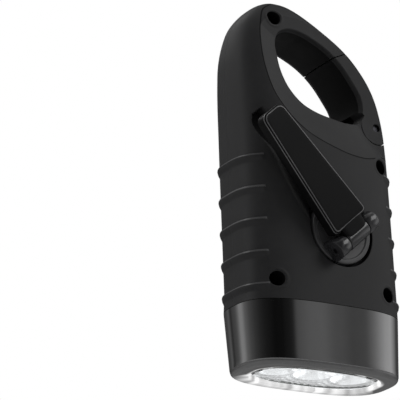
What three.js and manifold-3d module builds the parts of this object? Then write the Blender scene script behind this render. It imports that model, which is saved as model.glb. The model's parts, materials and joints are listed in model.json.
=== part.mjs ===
// Hand crank flashlight with a solar cell, a folding crank and a snap gate in its carrying loop.
// Millimetres, +Z up. The lens faces down, the solar cell faces -Y and the crank faces +Y.
import * as THREE from 'three';
import { mergeVertices, mergeGeometries } from 'three/addons/utils/BufferGeometryUtils.js';
import Module from 'manifold-3d';

const wasm = await Module();
wasm.setup();

// Overall sizes
const height = 130;
const width = 60.6;
const depth = 31.1;
const roundness = 2.95;
const wall = 2;
const clearance = 0.3;
const seam = 0.2;
const overrun = 6;

// Head bezel
const bezelHeight = 21;
const bezelNoseWidth = 58.6;
const bezelNoseDepth = 29.2;
const bezelBevel = 1.55;
const bezelWall = 2.1;
const bezelLip = 2.6;
const collarWall = 1.6;
const collarDrop = 4.6;
const collarShelf = 2;

// Lens, reflector and LEDs
const lensWidth = 46;
const lensDepth = 20.8;
const lensRoundness = 2.6;
const lensSetback = 0.6;
const lensFlange = 1.1;
const lensFlangeThickness = 1.2;
const sealSlot = 1;
const collarGap = 0.4;
const cupPitch = 14.4;
const cupMouthRadius = 6.9;
const cupThroatRadius = 2.7;
const ledRadius = 2.1;
const ledLength = 3.6;
const ledBoardThickness = 1.4;

// Carrying loop
const shoulderShare = 0.5846;
const loopThickness = 19;
const openingRound = 1.7;
const openingFlare = 1.9;
const openingRoundShares = [[0, 1], [0.4, 0.4], [1.4, 0]];
const recessShare = 0.18;
const headTopShare = 0.32;

// Snap gate
const gateRadius = 5.9;
const gateFit = 0.35;
const gateNotchAngle = 40;
const gateRootAngles = [180, 360];
const tongueThickness = 6;
const tongueRadius = 5;
const tongueShare = 0.8;
const gatePinRadius = 1.2;
const gatePinSetback = 0.9;
const springWire = 0.5;
const springTurns = 4;
const springTurnSteps = 8;
const springWireSteps = 5;
const springPocketRadius = 3.1;
const springPocketDepth = 4.4;

// Grip ribs
const ribCount = 5;
const ribShares = [0.082, 0.882];
const ribHeight = 0.9;
const ribWidth = 2.8;
const ribReach = 5.8;
const ribCrownShare = 0.4;

// Solar panel
const solarShares = [0.627, 0.1127, 0.887, 0.967];
const solarMargin = 6.8;
const solarSill = 4.2;
const solarHead = 3.8;
const solarCorner = 3;
const solarProud = 0.8;
const solarSeat = 2.2;
const cellThickness = 0.9;
const cellSetback = 1.9;
const cellLap = 1;
const solarFloor = 1.5;
const solarBevel = 0.6;
const windowBevel = 1.6;

// Crank
const hubShares = [-0.1155, 0.469];
const hubRadius = 11.2;
const hubThickness = 2.4;
const hubProud = -0.35;
const hubGap = 1.1;
const hubBoss = 1.6;
const crankAngle = 41;
const crankTilt = 1;
const barrelRadius = 3.3;
const barrelLength = 20.2;
const lugShare = 0.9;
const barrelOffset = 3;
const knuckleLength = 10;
const hingePinRadius = 1.1;
const armLength = 49;
const armRootWidth = 16.4;
const armTipWidth = 10.6;
const armDepth = 4.2;
const armSkin = 1.5;
const armRim = 1.5;
const armBevel = 0.5;
const armNeck = 4;
const armCorner = 3.4;
const knobRadius = 3.2;
const knobFromTip = 5.3;
const knobSweepGap = 0.35;
const knobScrewRadius = 1.1;
const knobHeadRadius = 2.1;
const knobHeadHeight = 1.2;
const scoopRadius = 9;
const scoopDepth = 6;
const scoopShares = [-0.1, 0.3];

// Gear train
const moduleShare = 0.0132;
const driveTeeth = 28;
const pinionTeeth = 8;
const wheelTeeth = 24;
const toothShares = [0.8, 1.1];
const gearWidth = 1.8;
const gearGap = 0.6;
const backlash = 0.24;
const shaftRadius = 2.5;
const spigotRadius = 1.6;
const idlerPinRadius = 0.9;
const idlerHubRadius = 1.9;
const runningGap = 0.15;
const firstIdlerAngle = 125;
const secondIdlerAngle = 33;
const rotorAngle = -44;
const plateThickness = 1.4;
const plateMargin = 3;
const postRadius = 1.9;
const postScrewRadius = 0.8;
const generatorShare = 0.173;
const generatorWall = 0.9;
const coilThickness = 2;
const screwHeadShare = 2.1;
const magnetRadius = 6.4;

// Electrics
const batteryShares = [0.2315, 0.495];
const cellHeightAboveShelf = 1.4;
const batteryForward = 1.5;
const boardShares = [0.56, 0.38, 0.93];
const boardThickness = 1.2;
const boardStandoff = 1.8;
const buttonShare = 0.577;
const buttonLength = 10;
const buttonWidth = 6.6;
const buttonProud = 0.9;
const buttonTravel = 1.2;
const buttonFlange = 1;
const buttonFlangeThickness = 0.8;
const switchLength = 4.3;
const switchWidth = 7;
const riserThickness = 1.2;
const chipShares = [[-0.5, -0.25], [0.25, 0.6]];
const chipHeight = 4.8;
const cradleShare = 0.3;

// Case screws
const screwHeadRadius = 2.1;
const screwHeadHeight = 1.6;
const screwShankRadius = 1.3;
const screwSeat = 3.4;
const screwReach = 7;
const screwBossRadius = 4.1;
const counterboreRadius = 2.5;
const pilotShare = 1.6;
const screwCrownShare = 0.6;

// Facet counts
const sectionSteps = 40;
const innerSteps = 28;
const openingSteps = 40;
const creaseSteps = 32;
const roundSteps = 16;
const wideSteps = 36;
const smallSteps = 12;

const halfWidth = width / 2;
const halfDepth = depth / 2;
const shoulderHeight = height * shoulderShare;
const headRise = height - shoulderHeight;
const trunkRise = shoulderHeight - bezelHeight;
const onTrunk = (share) => bezelHeight + trunkRise * share;
const half = (value) => value / 2;
const blend = THREE.MathUtils.lerp;
const degrees = THREE.MathUtils.degToRad;
const polar = (x, z, length, angle) => [
  x + length * Math.cos(degrees(angle)),
  z + length * Math.sin(degrees(angle)),
];

// Head outline, as shares of half the width and of the rise above the shoulder
const spineShares = [
  [0.98, -0.9], [0.97, -0.3], [0.965, 0.1], [0.965, 0.3], [0.96, 0.45], [0.945, 0.58], [0.9, 0.7],
  [0.83, 0.805], [0.76, 0.865], [0.64, 0.935], [0.5, 0.98], [0.345, 1],
];
const gateSideShares = [
  [-1, -0.9], [-0.995, -0.1], [-0.99, 0.08], [-0.98, 0.2], [-0.955, 0.31], [-0.91, 0.42],
  [-0.84, 0.515], [-0.745, 0.6], [-0.62, 0.685], [-0.47, 0.757], [-0.3, 0.822], [-0.14, 0.88],
  [0, 0.928], [0.14, 0.97], [0.24, 0.992], [0.345, 1],
];
// Opening of the loop, and the crease where the thick body steps down to the loop
const openingShares = [
  [-0.6, 0.33], [-0.585, 0.415], [-0.49, 0.505], [-0.36, 0.6], [-0.2, 0.685], [0, 0.745], [0.17, 0.783],
  [0.34, 0.79], [0.455, 0.755], [0.505, 0.68], [0.495, 0.59], [0.455, 0.475], [0.36, 0.375],
  [0.2, 0.305], [0, 0.272], [-0.2, 0.255], [-0.4, 0.24], [-0.54, 0.255],
];
const creaseShares = [
  [-1.5, 0.03], [-0.98, 0.03], [-0.8, 0.012], [-0.63, -0.012], [-0.46, -0.015], [-0.3, 0.005],
  [-0.12, 0.03], [0.07, 0.068], [0.27, 0.125], [0.44, 0.19], [0.57, 0.262], [0.66, 0.35],
  [0.715, 0.45], [0.748, 0.55], [0.76, 0.65], [0.745, 0.74], [0.7, 0.825], [0.6, 0.905], [0.42, 0.98],
  [0.2, 1.2], [-1.5, 1.2],
];
const loopHubShares = [-0.04, 0.5];
const gatePivotShares = [-0.81, 0.232];
const gateSeamShares = [[-0.41, 0.683], [-0.035, 0.585]];
const notchFloorShares = [[-0.5, 0.26], [-0.3, 0.4]];
const lowScrewShares = [0.7, -0.72];
const lowScrewRise = 6.9;
const caseScrewShares = [[-0.756, -0.054], [0.48, 0.845]];
const bodyTaperShares = [0.35, 3];
const cavityTopShare = 0.75;
const summitShare = 0.9985;

const materials = {};
function finish(name, color, roughness, metalness = 0) {
  materials[name] = () => new THREE.MeshStandardMaterial({ color, roughness, metalness });
}
finish('casing', 0x222223, 0.62);
finish('bezel', 0x17171a, 0.12, 0.3);
finish('trim', 0x3a3a3c, 0.3);
finish('crank', 0x19191b, 0.4);
finish('steel', 0xb9bbbf, 0.3, 1);
finish('solar', 0x9c7367, 0.35);
finish('chrome', 0xe6e8ea, 0.08, 1);
finish('clear', 0xf4f8fb, 0.05);
finish('light', 0xfff8e0, 0.2);
finish('board', 0x1c5a34, 0.5);
finish('gear', 0xe8e4d6, 0.5);
finish('coil', 0xb06a34, 0.4, 0.8);
finish('battery', 0x2f6fb0, 0.4);
finish('seal', 0x151515, 0.8);

// Solids from three.js shapes
function solid(geometry) {
  const bare = geometry.clone();
  bare.deleteAttribute('normal');
  bare.deleteAttribute('uv');
  const merged = mergeVertices(bare, 1e-4);
  return new wasm.Manifold(new wasm.Mesh({
    numProp: 3,
    vertProperties: new Float32Array(merged.attributes.position.array),
    triVerts: new Uint32Array(merged.index.array),
  }));
}

function geometryOf(body) {
  const mesh = body.getMesh();
  const geometry = new THREE.BufferGeometry();
  const count = mesh.vertProperties.length / mesh.numProp;
  const positions = new Float32Array(count * 3);
  for (let i = 0; i < count; i += 1) {
    for (let axis = 0; axis < 3; axis += 1) {
      positions[i * 3 + axis] = mesh.vertProperties[i * mesh.numProp + axis];
    }
  }
  geometry.setAttribute('position', new THREE.BufferAttribute(positions, 3));
  geometry.setIndex(Array.from(mesh.triVerts));
  geometry.computeVertexNormals();
  return geometry;
}

function join(...bodies) {
  return bodies.reduce((sum, body) => sum.add(body));
}

function cut(body, ...tools) {
  return tools.reduce((rest, tool) => rest.subtract(tool), body);
}

// A closed skin over rings of equal point counts, with a flat fan on both ends
function loft(rings) {
  const count = rings[0].length;
  const points = rings.flat();
  const middle = (ring) => ring.reduce((sum, p) => sum.add(p), new THREE.Vector3()).divideScalar(count);
  const low = points.push(middle(rings[0])) - 1;
  const high = points.push(middle(rings.at(-1))) - 1;
  const index = [];
  for (let ring = 0; ring < rings.length - 1; ring += 1) {
    for (let i = 0; i < count; i += 1) {
      const a = ring * count + i;
      const b = ring * count + ((i + 1) % count);
      index.push(a, b, b + count, a, b + count, a + count);
    }
  }
  const last = (rings.length - 1) * count;
  for (let i = 0; i < count; i += 1) {
    const next = (i + 1) % count;
    index.push(low, next, i, high, last + i, last + next);
  }
  const geometry = new THREE.BufferGeometry().setFromPoints(points);
  geometry.setIndex(index);
  const body = solid(geometry);
  if (body.volume() > 0) return body;
  geometry.setIndex(index.toReversed());
  return solid(geometry);
}

function box(x0, x1, y0, y1, z0, z1) {
  const geometry = new THREE.BoxGeometry(x1 - x0, y1 - y0, z1 - z0);
  geometry.translate((x0 + x1) / 2, (y0 + y1) / 2, (z0 + z1) / 2);
  return solid(geometry);
}

// A round bar along Y at (x, z)
function rod(x, z, radius, y0, y1, steps = roundSteps, tipRadius = radius) {
  const geometry = new THREE.CylinderGeometry(tipRadius, radius, y1 - y0, steps);
  geometry.translate(x, (y0 + y1) / 2, z);
  return solid(geometry);
}

// A turned piece about Y at (x, z), from radius and height pairs that start and end on the axis
function turned(x, z, profile, steps = roundSteps) {
  const geometry = new THREE.LatheGeometry(profile.map(([r, y]) => new THREE.Vector2(r, y)), steps);
  geometry.translate(x, 0, z);
  const body = solid(geometry);
  if (body.volume() > 0) return body;
  const flipped = mergeVertices(geometry);
  flipped.setIndex(Array.from(flipped.index.array).toReversed());
  return solid(flipped);
}

// A flat outline in X and Z, pushed along Y
function prism(outline, y0, y1) {
  const shape = outline instanceof THREE.Shape
    ? outline
    : new THREE.Shape(outline.map(([x, z]) => new THREE.Vector2(x, z)));
  const geometry = new THREE.ExtrudeGeometry(shape, {
    depth: y1 - y0,
    bevelEnabled: false,
    curveSegments: 6,
  });
  geometry.rotateX(Math.PI / 2);
  geometry.translate(0, y1, 0);
  return solid(geometry);
}

// Superellipse ring in a level plane
function section(halfX, halfY, z, centre = 0, power = roundness, steps = sectionSteps) {
  const ring = [];
  for (let i = 0; i < steps; i += 1) {
    const turn = (i + 0.5) * 2 * Math.PI / steps;
    const c = Math.cos(turn);
    const s = Math.sin(turn);
    ring.push(new THREE.Vector3(
      centre + halfX * Math.sign(c) * Math.abs(c) ** (2 / power),
      halfY * Math.sign(s) * Math.abs(s) ** (2 / power),
      z,
    ));
  }
  return ring;
}

// Places on the head, from shares of half the width and of the head's rise
const onHead = ([x, z]) => [x * halfWidth, shoulderHeight + z * headRise];
const headCurve = (shares, closed = false) => new THREE.CatmullRomCurve3(
  shares.map(onHead).map(([x, z]) => new THREE.Vector3(x, 0, z)),
  closed,
  'centripetal',
);

function reachAt(curve, z) {
  let low = 0;
  let high = 1;
  for (let i = 0; i < 40; i += 1) {
    const middle = (low + high) / 2;
    if (curve.getPoint(middle).z < z) low = middle;
    else high = middle;
  }
  return curve.getPoint((low + high) / 2).x;
}

const spineCurve = headCurve(spineShares);
const gateSideCurve = headCurve(gateSideShares);
const taperStart = height * bodyTaperShares[0];

// Half width, half depth and centre of the body's level section at a height
function bodyAt(z) {
  const lowest = shoulderHeight + spineShares[0][1] * headRise;
  const climb = THREE.MathUtils.clamp((z - bezelHeight) / (lowest - bezelHeight), 0, 1);
  const side = (curve, start) => (
    z > lowest ? reachAt(curve, z) : blend(start, reachAt(curve, lowest), climb)
  );
  const right = side(spineCurve, halfWidth);
  const left = side(gateSideCurve, -halfWidth);
  const rise = THREE.MathUtils.clamp((z - taperStart) / (height - taperStart), 0, 1);
  const power = bodyTaperShares[1];
  return {
    halfX: (right - left) / 2,
    centre: (right + left) / 2,
    halfY: halfDepth * (1 - rise ** power) ** (1 / power),
  };
}

function bodySection(z, inset = 0, swellX = 0, swellY = 0) {
  const { halfX, halfY, centre } = bodyAt(z);
  const steps = inset > 0 ? innerSteps : sectionSteps;
  return section(halfX - inset + swellX, halfY - inset + swellY, z, centre, roundness, steps);
}

// The whole outer form, head included, before it is opened and split
function outerForm() {
  const rings = [section(halfWidth, halfDepth, bezelHeight - overrun)];
  const straight = 4;
  for (let i = 0; i <= straight; i += 1) {
    rings.push(bodySection(blend(bezelHeight, shoulderHeight, i / straight)));
  }
  const steps = 13;
  for (let i = 1; i < steps; i += 1) {
    const rise = Math.sin(Math.PI / 2 * i / steps);
    rings.push(bodySection(shoulderHeight + headRise * rise));
  }
  rings.push(bodySection(shoulderHeight + headRise * summitShare));
  return loft(rings);
}

const opening = headCurve(openingShares, true);
const openingPoints = opening.getSpacedPoints(openingSteps).slice(0, openingSteps);
const openingFlat = openingPoints.map((point) => new THREE.Vector2(point.x, point.z));
const openingSide = THREE.ShapeUtils.isClockWise(openingFlat) ? -1 : 1;

// The opening's outline pushed outward by a distance, at a depth
function openingRing(y, out) {
  return openingPoints.map((point, i) => {
    const before = openingPoints[(i + openingSteps - 1) % openingSteps];
    const after = openingPoints[(i + 1) % openingSteps];
    const along = after.clone().sub(before).normalize();
    const step = out * openingSide;
    return new THREE.Vector3(point.x + along.z * step, y, point.z - along.x * step);
  });
}

// The opening with a rounded edge on both faces of the loop
function openingTool() {
  const face = half(loopThickness);
  const levels = [
    [face + overrun, openingRound * openingFlare],
    ...openingRoundShares.map(([drop, out]) => [face - openingRound * drop, openingRound * out]),
  ];
  const rings = levels.map(([y, out]) => openingRing(-y, out));
  rings.push(...levels.toReversed().map(([y, out]) => openingRing(y, out)));
  return loft(rings);
}

function onHeadPoint(shares) {
  const [x, z] = onHead(shares);
  return new THREE.Vector3(x, 0, z);
}

// What the step from body to loop takes away on one side
function recessTool(side) {
  const middle = onHeadPoint(loopHubShares);
  const crease = headCurve(creaseShares.slice(0, -2)).getSpacedPoints(creaseSteps);
  const corners = creaseShares.slice(-2).map(onHeadPoint);
  const rim = [...crease, ...corners];
  const ringAt = (y, share) => rim.map((point) => {
    const moved = point.clone().lerp(middle, share);
    return new THREE.Vector3(moved.x, y * side, moved.z);
  });
  const face = half(loopThickness);
  const climb = halfDepth - face;
  return prismBetween(ringAt(face, recessShare), ringAt(face + climb * 2, -recessShare));
}

// A closed form between two rings whose ends need not be convex
function prismBetween(low, high) {
  const flat = low.map((p) => new THREE.Vector2(p.x, p.z));
  const caps = THREE.ShapeUtils.triangulateShape(flat, []);
  const count = low.length;
  const index = [];
  caps.forEach(([a, b, c]) => index.push(a, c, b, a + count, b + count, c + count));
  for (let i = 0; i < count; i += 1) {
    const j = (i + 1) % count;
    index.push(i, j, j + count, i, j + count, i + count);
  }
  const geometry = new THREE.BufferGeometry().setFromPoints([...low, ...high]);
  geometry.setIndex(index);
  const body = solid(geometry);
  if (body.volume() > 0) return body;
  geometry.setIndex(index.toReversed());
  return solid(geometry);
}

const [pivotX, pivotZ] = onHead(gatePivotShares);
const seamOuter = onHead(gateSeamShares[0]);
const seamInner = onHead(gateSeamShares[1]);

// Outline of the gate's share of the loop, grown by a fit on all sides
function gateZone(grow) {
  const far = width;
  const radius = gateRadius + grow;
  const end = grow > 0 ? 0 : gateNotchAngle;
  const steps = 16;
  const points = [[pivotX - far, pivotZ]];
  for (let i = 0; i <= steps; i += 1) {
    const turn = degrees(blend(gateRootAngles[0], gateRootAngles[1] + end, i / steps));
    points.push([pivotX + radius * Math.cos(turn), pivotZ + radius * Math.sin(turn)]);
  }
  if (grow > 0) points.push(...notchFloorShares.map(onHead));
  else points.push(polar(pivotX, pivotZ, gateRadius * 2, end));
  const slope = new THREE.Vector2(seamOuter[0] - seamInner[0], seamOuter[1] - seamInner[1]).normalize();
  const lift = new THREE.Vector2(slope.y, -slope.x).multiplyScalar(grow);
  const reach = half(headRise);
  const onSeam = ([x, z], step) => [x + slope.x * step + lift.x, z + slope.y * step + lift.y];
  points.push(onSeam(seamInner, -overrun / 2), onSeam(seamOuter, reach));
  points.push([pivotX - far, height]);
  return points;
}

// Bezel section at a height
function bezelHalf(z) {
  const rise = THREE.MathUtils.clamp((z - bezelBevel) / (bezelHeight - bezelBevel), 0, 1);
  return {
    halfX: blend(half(bezelNoseWidth), halfWidth, rise),
    halfY: blend(half(bezelNoseDepth), halfDepth, rise),
  };
}

function bezelRing(z, inset) {
  const { halfX, halfY } = bezelHalf(z);
  const steps = inset > bezelBevel ? innerSteps : sectionSteps;
  return section(halfX - inset, halfY - inset, z, 0, roundness, steps);
}

function lensRing(z, out) {
  return section(half(lensWidth) + out, half(lensDepth) + out, z, 0, lensRoundness);
}

const meshes = {};
function part(name, body, material) {
  const mesh = new THREE.Mesh(geometryOf(body), materials[material]());
  mesh.name = name;
  meshes[name] = mesh;
  return mesh;
}

// Head: bezel, seal, lens, reflector and LEDs
const lensBack = bezelLip + sealSlot + lensFlangeThickness;
const reflectorFront = lensBack + clearance;
const ledBoardBack = bezelHeight - collarDrop - collarGap;
const ledBoardFront = ledBoardBack - ledBoardThickness;
const reflectorBack = ledBoardFront - clearance;
const reflectorDepth = reflectorBack - reflectorFront;
const coreGap = lensFlange + clearance;

function headBezel() {
  const bevels = 4;
  const rings = [];
  for (let i = 0; i <= bevels; i += 1) {
    const turn = Math.PI / 2 * i / bevels;
    rings.push(bezelRing(bezelBevel * (1 - Math.cos(turn)), bezelBevel * (1 - Math.sin(turn))));
  }
  rings.push(bezelRing(bezelHeight, 0));
  const core = lensRing(bezelLip, coreGap);
  const inner = [core, lensRing(ledBoardBack, coreGap)];
  const socket = [bezelRing(ledBoardBack, bezelWall), bezelRing(bezelHeight + overrun, bezelWall)];
  const mouth = [
    lensRing(-overrun, overrun / 2), lensRing(0, clearance * 2), lensRing(bezelLip + overrun / 2, clearance),
  ];
  return cut(loft(rings), loft(mouth), loft(inner), loft(socket));
}

function lensSeal() {
  const [front, back] = [bezelLip + runningGap, bezelLip + sealSlot - runningGap];
  return cut(
    loft([lensRing(front, lensFlange), lensRing(back, lensFlange)]),
    loft([lensRing(0, clearance), lensRing(bezelHeight, clearance)]),
  );
}

function lens() {
  const flange = bezelLip + sealSlot;
  return join(
    loft([
      lensRing(lensSetback, -bezelBevel), lensRing(lensSetback + clearance, -bezelBevel / 3),
      lensRing(lensSetback + bezelBevel / 2, 0), lensRing(lensBack, 0),
    ]),
    loft([lensRing(flange, lensFlange), lensRing(lensBack, lensFlange)]),
  );
}

const cupPlaces = [-cupPitch, 0, cupPitch];

function reflector() {
  const body = loft([lensRing(reflectorFront, lensFlange), lensRing(reflectorBack, lensFlange)]);
  const bowl = 5;
  const cups = cupPlaces.map((x) => {
    const [front, back] = [reflectorFront - overrun / 3, reflectorBack + overrun / 3];
    const profile = [[0, front], [cupMouthRadius, front]];
    for (let i = 0; i <= bowl; i += 1) {
      const share = i / bowl;
      const radius = blend(cupThroatRadius, cupMouthRadius, Math.sqrt(1 - share));
      profile.push([radius, reflectorFront + (reflectorDepth - clearance) * share]);
    }
    profile.push([cupThroatRadius, back], [0, back]);
    return upright(profile, x, 0);
  });
  return cut(body, ...cups);
}

// A turned piece about a vertical axis at (x, y)
function upright(profile, x, y, steps = roundSteps) {
  const geometry = new THREE.LatheGeometry(profile.map(([r, z]) => new THREE.Vector2(r, z)), steps);
  geometry.rotateX(Math.PI / 2);
  geometry.translate(x, y, 0);
  const body = solid(geometry);
  if (body.volume() > 0) return body;
  const flipped = mergeVertices(geometry);
  flipped.setIndex(Array.from(flipped.index.array).toReversed());
  return solid(flipped);
}

function led(x) {
  const tip = ledBoardFront - clearance - ledLength;
  const profile = [[0, tip]];
  const dome = 3;
  for (let i = 1; i <= dome; i += 1) {
    const turn = Math.PI / 2 * i / dome;
    profile.push([ledRadius * Math.sin(turn), tip + ledRadius * (1 - Math.cos(turn))]);
  }
  profile.push([ledRadius, ledBoardFront - clearance], [0, ledBoardFront - clearance]);
  return upright(profile, x, 0, smallSteps);
}

function ledBoard() {
  return loft([lensRing(ledBoardFront, lensFlange), lensRing(ledBoardBack, lensFlange)]);
}

// Places of the solar seat and the circuit board
const solarFront = -halfDepth - solarProud;
const solarBack = -halfDepth + solarSeat;
const padBack = solarBack + clearance + solarFloor;
const boardFront = padBack + boardStandoff;
const boardBack = boardFront + boardThickness;
const boardWidth = width * boardShares[0];
const boardBottom = onTrunk(boardShares[1]);
const boardHeight = onTrunk(boardShares[2]) - boardBottom;

// Places of the crank and its train
const backFace = halfDepth;
const hubX = hubShares[0] * halfWidth;
const hubZ = onTrunk(hubShares[1]);
const hubFace = backFace + hubProud;
const hubFloor = hubFace - hubThickness;
const recessFloor = hubFloor - clearance;
const bossFloor = recessFloor - hubBoss;
const barrelY = hubFace + barrelRadius + clearance;
const layerTops = [0, 1, 2].map((i) => bossFloor - clearance - i * (gearWidth + gearGap));
const plateBack = layerTops[2] - gearWidth - gearGap;
const plateFront = plateBack - plateThickness;
const toothModule = width * moduleShare;
const [toothRise, toothDrop] = toothShares.map((share) => share * toothModule);
const generatorRadius = width * generatorShare;
const pitchRadius = (teeth) => toothModule * teeth / 2;
const firstSpan = pitchRadius(driveTeeth) + pitchRadius(pinionTeeth);
const laterSpan = pitchRadius(wheelTeeth) + pitchRadius(pinionTeeth);
const [idlerX, idlerZ] = polar(hubX, hubZ, firstSpan, firstIdlerAngle);
const [secondX, secondZ] = polar(idlerX, idlerZ, laterSpan, secondIdlerAngle);
const [rotorX, rotorZ] = polar(secondX, secondZ, laterSpan, rotorAngle);

// Outline of a spur gear; a tooth is centred on the phase angle
function gearOutline(x, z, teeth, phase) {
  const radius = pitchRadius(teeth);
  const tip = radius + toothRise;
  const root = radius - toothDrop;
  const halfPitch = Math.PI / teeth;
  const thickness = halfPitch / 2 - backlash / 2 / radius;
  const flank = [[root, 1.36], [tip, 0.5]];
  const points = [];
  for (let tooth = 0; tooth < teeth; tooth += 1) {
    const middle = phase + tooth * 2 * halfPitch;
    flank.forEach(([r, share]) => points.push([r, middle - thickness * share]));
    flank.toReversed().forEach(([r, share]) => points.push([r, middle + thickness * share]));
  }
  return points.map(([r, angle]) => [x + r * Math.cos(angle), z + r * Math.sin(angle)]);
}

// Phase of a follower that meshes with a gear of known phase, along the line between their centres
function meshedPhase(teeth, phase, followerTeeth, lineAngle) {
  const offset = (degrees(lineAngle) - phase) * teeth / (2 * Math.PI);
  return degrees(lineAngle) + Math.PI - Math.PI / followerTeeth + offset * 2 * Math.PI / followerTeeth;
}

const drivePhase = 0;
const idlerPinionPhase = meshedPhase(driveTeeth, drivePhase, pinionTeeth, firstIdlerAngle);
const idlerWheelPhase = 0;
const secondPinionPhase = meshedPhase(wheelTeeth, idlerWheelPhase, pinionTeeth, secondIdlerAngle);
const secondWheelPhase = 0;
const rotorPhase = meshedPhase(wheelTeeth, secondWheelPhase, pinionTeeth, rotorAngle);

function gear(x, z, teeth, phase, layer) {
  return prism(gearOutline(x, z, teeth, phase), layerTops[layer] - gearWidth, layerTops[layer]);
}

function driveGear() {
  const bore = rod(hubX, hubZ, shaftRadius + clearance / 2, plateBack, bossFloor);
  const windows = [0, 1, 2, 3].map((i) => {
    const [x, z] = polar(hubX, hubZ, (pitchRadius(driveTeeth) + shaftRadius) / 2, i * 90);
    return rod(x, z, (pitchRadius(driveTeeth) - shaftRadius) / 4, plateBack, bossFloor, smallSteps);
  });
  return cut(gear(hubX, hubZ, driveTeeth, drivePhase, 0), bore, ...windows);
}

function compoundGear(x, z, pinionPhase, wheelPhase, layer) {
  const top = layerTops[layer];
  const low = layerTops[layer + 1] - gearWidth;
  const hub = rod(x, z, idlerHubRadius, low - gearGap / 2, top + clearance / 3, smallSteps);
  return cut(
    join(
      gear(x, z, pinionTeeth, pinionPhase, layer),
      gear(x, z, wheelTeeth, wheelPhase, layer + 1),
      hub,
    ),
    rod(x, z, idlerPinRadius + runningGap, low - overrun, top + overrun, smallSteps),
  );
}

const rotorTop = layerTops[2] + clearance;
const generatorBack = plateFront - clearance;
const generatorFront = boardBack + boardThickness + clearance;

function generatorRotor() {
  const magnet = [generatorFront + generatorWall + clearance * 2, generatorBack - clearance * 3];
  return join(
    gear(rotorX, rotorZ, pinionTeeth, rotorPhase, 2),
    rod(rotorX, rotorZ, idlerPinRadius, magnet[0], rotorTop, smallSteps),
    rod(rotorX, rotorZ, magnetRadius, magnet[0], magnet[1]),
  );
}

function generatorCase() {
  const inner = generatorRadius - generatorWall;
  return cut(
    rod(rotorX, rotorZ, generatorRadius, generatorFront, generatorBack),
    rod(rotorX, rotorZ, inner, generatorFront + generatorWall, generatorBack + overrun),
  );
}

function statorCoil() {
  const outer = generatorRadius - generatorWall - clearance;
  const y0 = generatorFront + generatorWall + clearance;
  const y1 = generatorBack - clearance * 2;
  return cut(
    rod(rotorX, rotorZ, outer, y0, y1),
    rod(rotorX, rotorZ, outer - coilThickness, y0 - overrun, y1 + overrun),
  );
}

const postSpan = pitchRadius(driveTeeth) + toothRise + gearGap + postRadius;
const postPlaces = [
  [hubX - postSpan, hubZ - half(postRadius)],
  [hubX + postSpan + postRadius, hubZ - postRadius * 2],
  [rotorX + generatorRadius - postRadius, secondZ + postRadius * 2],
];

function plateOutline() {
  const hull = [
    [postPlaces[0][0] - plateMargin, postPlaces[0][1] - plateMargin],
    [postPlaces[1][0] + plateMargin, postPlaces[1][1] - plateMargin],
    [rotorX + generatorRadius + clearance, rotorZ],
    [postPlaces[2][0] + plateMargin, postPlaces[2][1] + plateMargin],
    [secondX - plateMargin, postPlaces[2][1] + plateMargin],
    [idlerX - plateMargin, idlerZ + plateMargin],
    [idlerX - plateMargin, idlerZ - plateMargin],
  ];
  return hull;
}

function gearPlate() {
  const y0 = plateFront - overrun;
  const y1 = plateBack + overrun;
  return cut(
    prism(plateOutline(), plateFront, plateBack),
    rod(hubX, hubZ, spigotRadius + runningGap, y0, y1, smallSteps),
    rod(idlerX, idlerZ, idlerPinRadius + clearance / 2, y0, y1, smallSteps),
    rod(secondX, secondZ, idlerPinRadius + clearance / 2, y0, y1, smallSteps),
    rod(rotorX, rotorZ, idlerPinRadius + clearance, y0, y1, smallSteps),
    ...postPlaces.map(([x, z]) => rod(x, z, postScrewRadius + clearance / 2, y0, y1, smallSteps)),
  );
}

const pinSeat = 1.4;
function idlerPin(x, z) {
  return rod(x, z, idlerPinRadius, plateFront + clearance, bossFloor + pinSeat - clearance, smallSteps);
}

function plateScrew([x, z]) {
  const head = postScrewRadius * screwHeadShare;
  const low = plateFront - clearance;
  const tip = plateBack + postScrewRadius * 3;
  return turned(x, z, [
    [0, low - postScrewRadius], [head, low - postScrewRadius], [head, low],
    [postScrewRadius, low], [postScrewRadius, tip], [0, tip],
  ], smallSteps);
}

function crankShaft() {
  const [foot, shoulder] = [plateFront + clearance, plateBack + clearance];
  const [seat, top] = [hubFloor - clearance / 3, hubFace - clearance * 3];
  return turned(hubX, hubZ, [
    [0, foot], [spigotRadius, foot], [spigotRadius, shoulder], [shaftRadius, shoulder],
    [shaftRadius, seat], [spigotRadius, seat], [spigotRadius, top], [0, top],
  ]);
}

// Crank: everything is drawn about the hub's axis with the arm along +Z, then turned and tilted
const turnGroup = new THREE.Group();
turnGroup.position.set(hubX, 0, hubZ);
turnGroup.rotation.y = degrees(crankAngle);
const foldGroup = new THREE.Group();
foldGroup.position.set(0, barrelY, -barrelOffset);
foldGroup.rotation.x = -degrees(crankTilt);
turnGroup.add(foldGroup);

// A round bar along X through (y, z)
function crossRod(y, z, radius, x0, x1, steps = roundSteps) {
  const geometry = new THREE.CylinderGeometry(radius, radius, x1 - x0, steps);
  geometry.rotateZ(Math.PI / 2);
  geometry.translate((x0 + x1) / 2, y, z);
  return solid(geometry);
}

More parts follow.
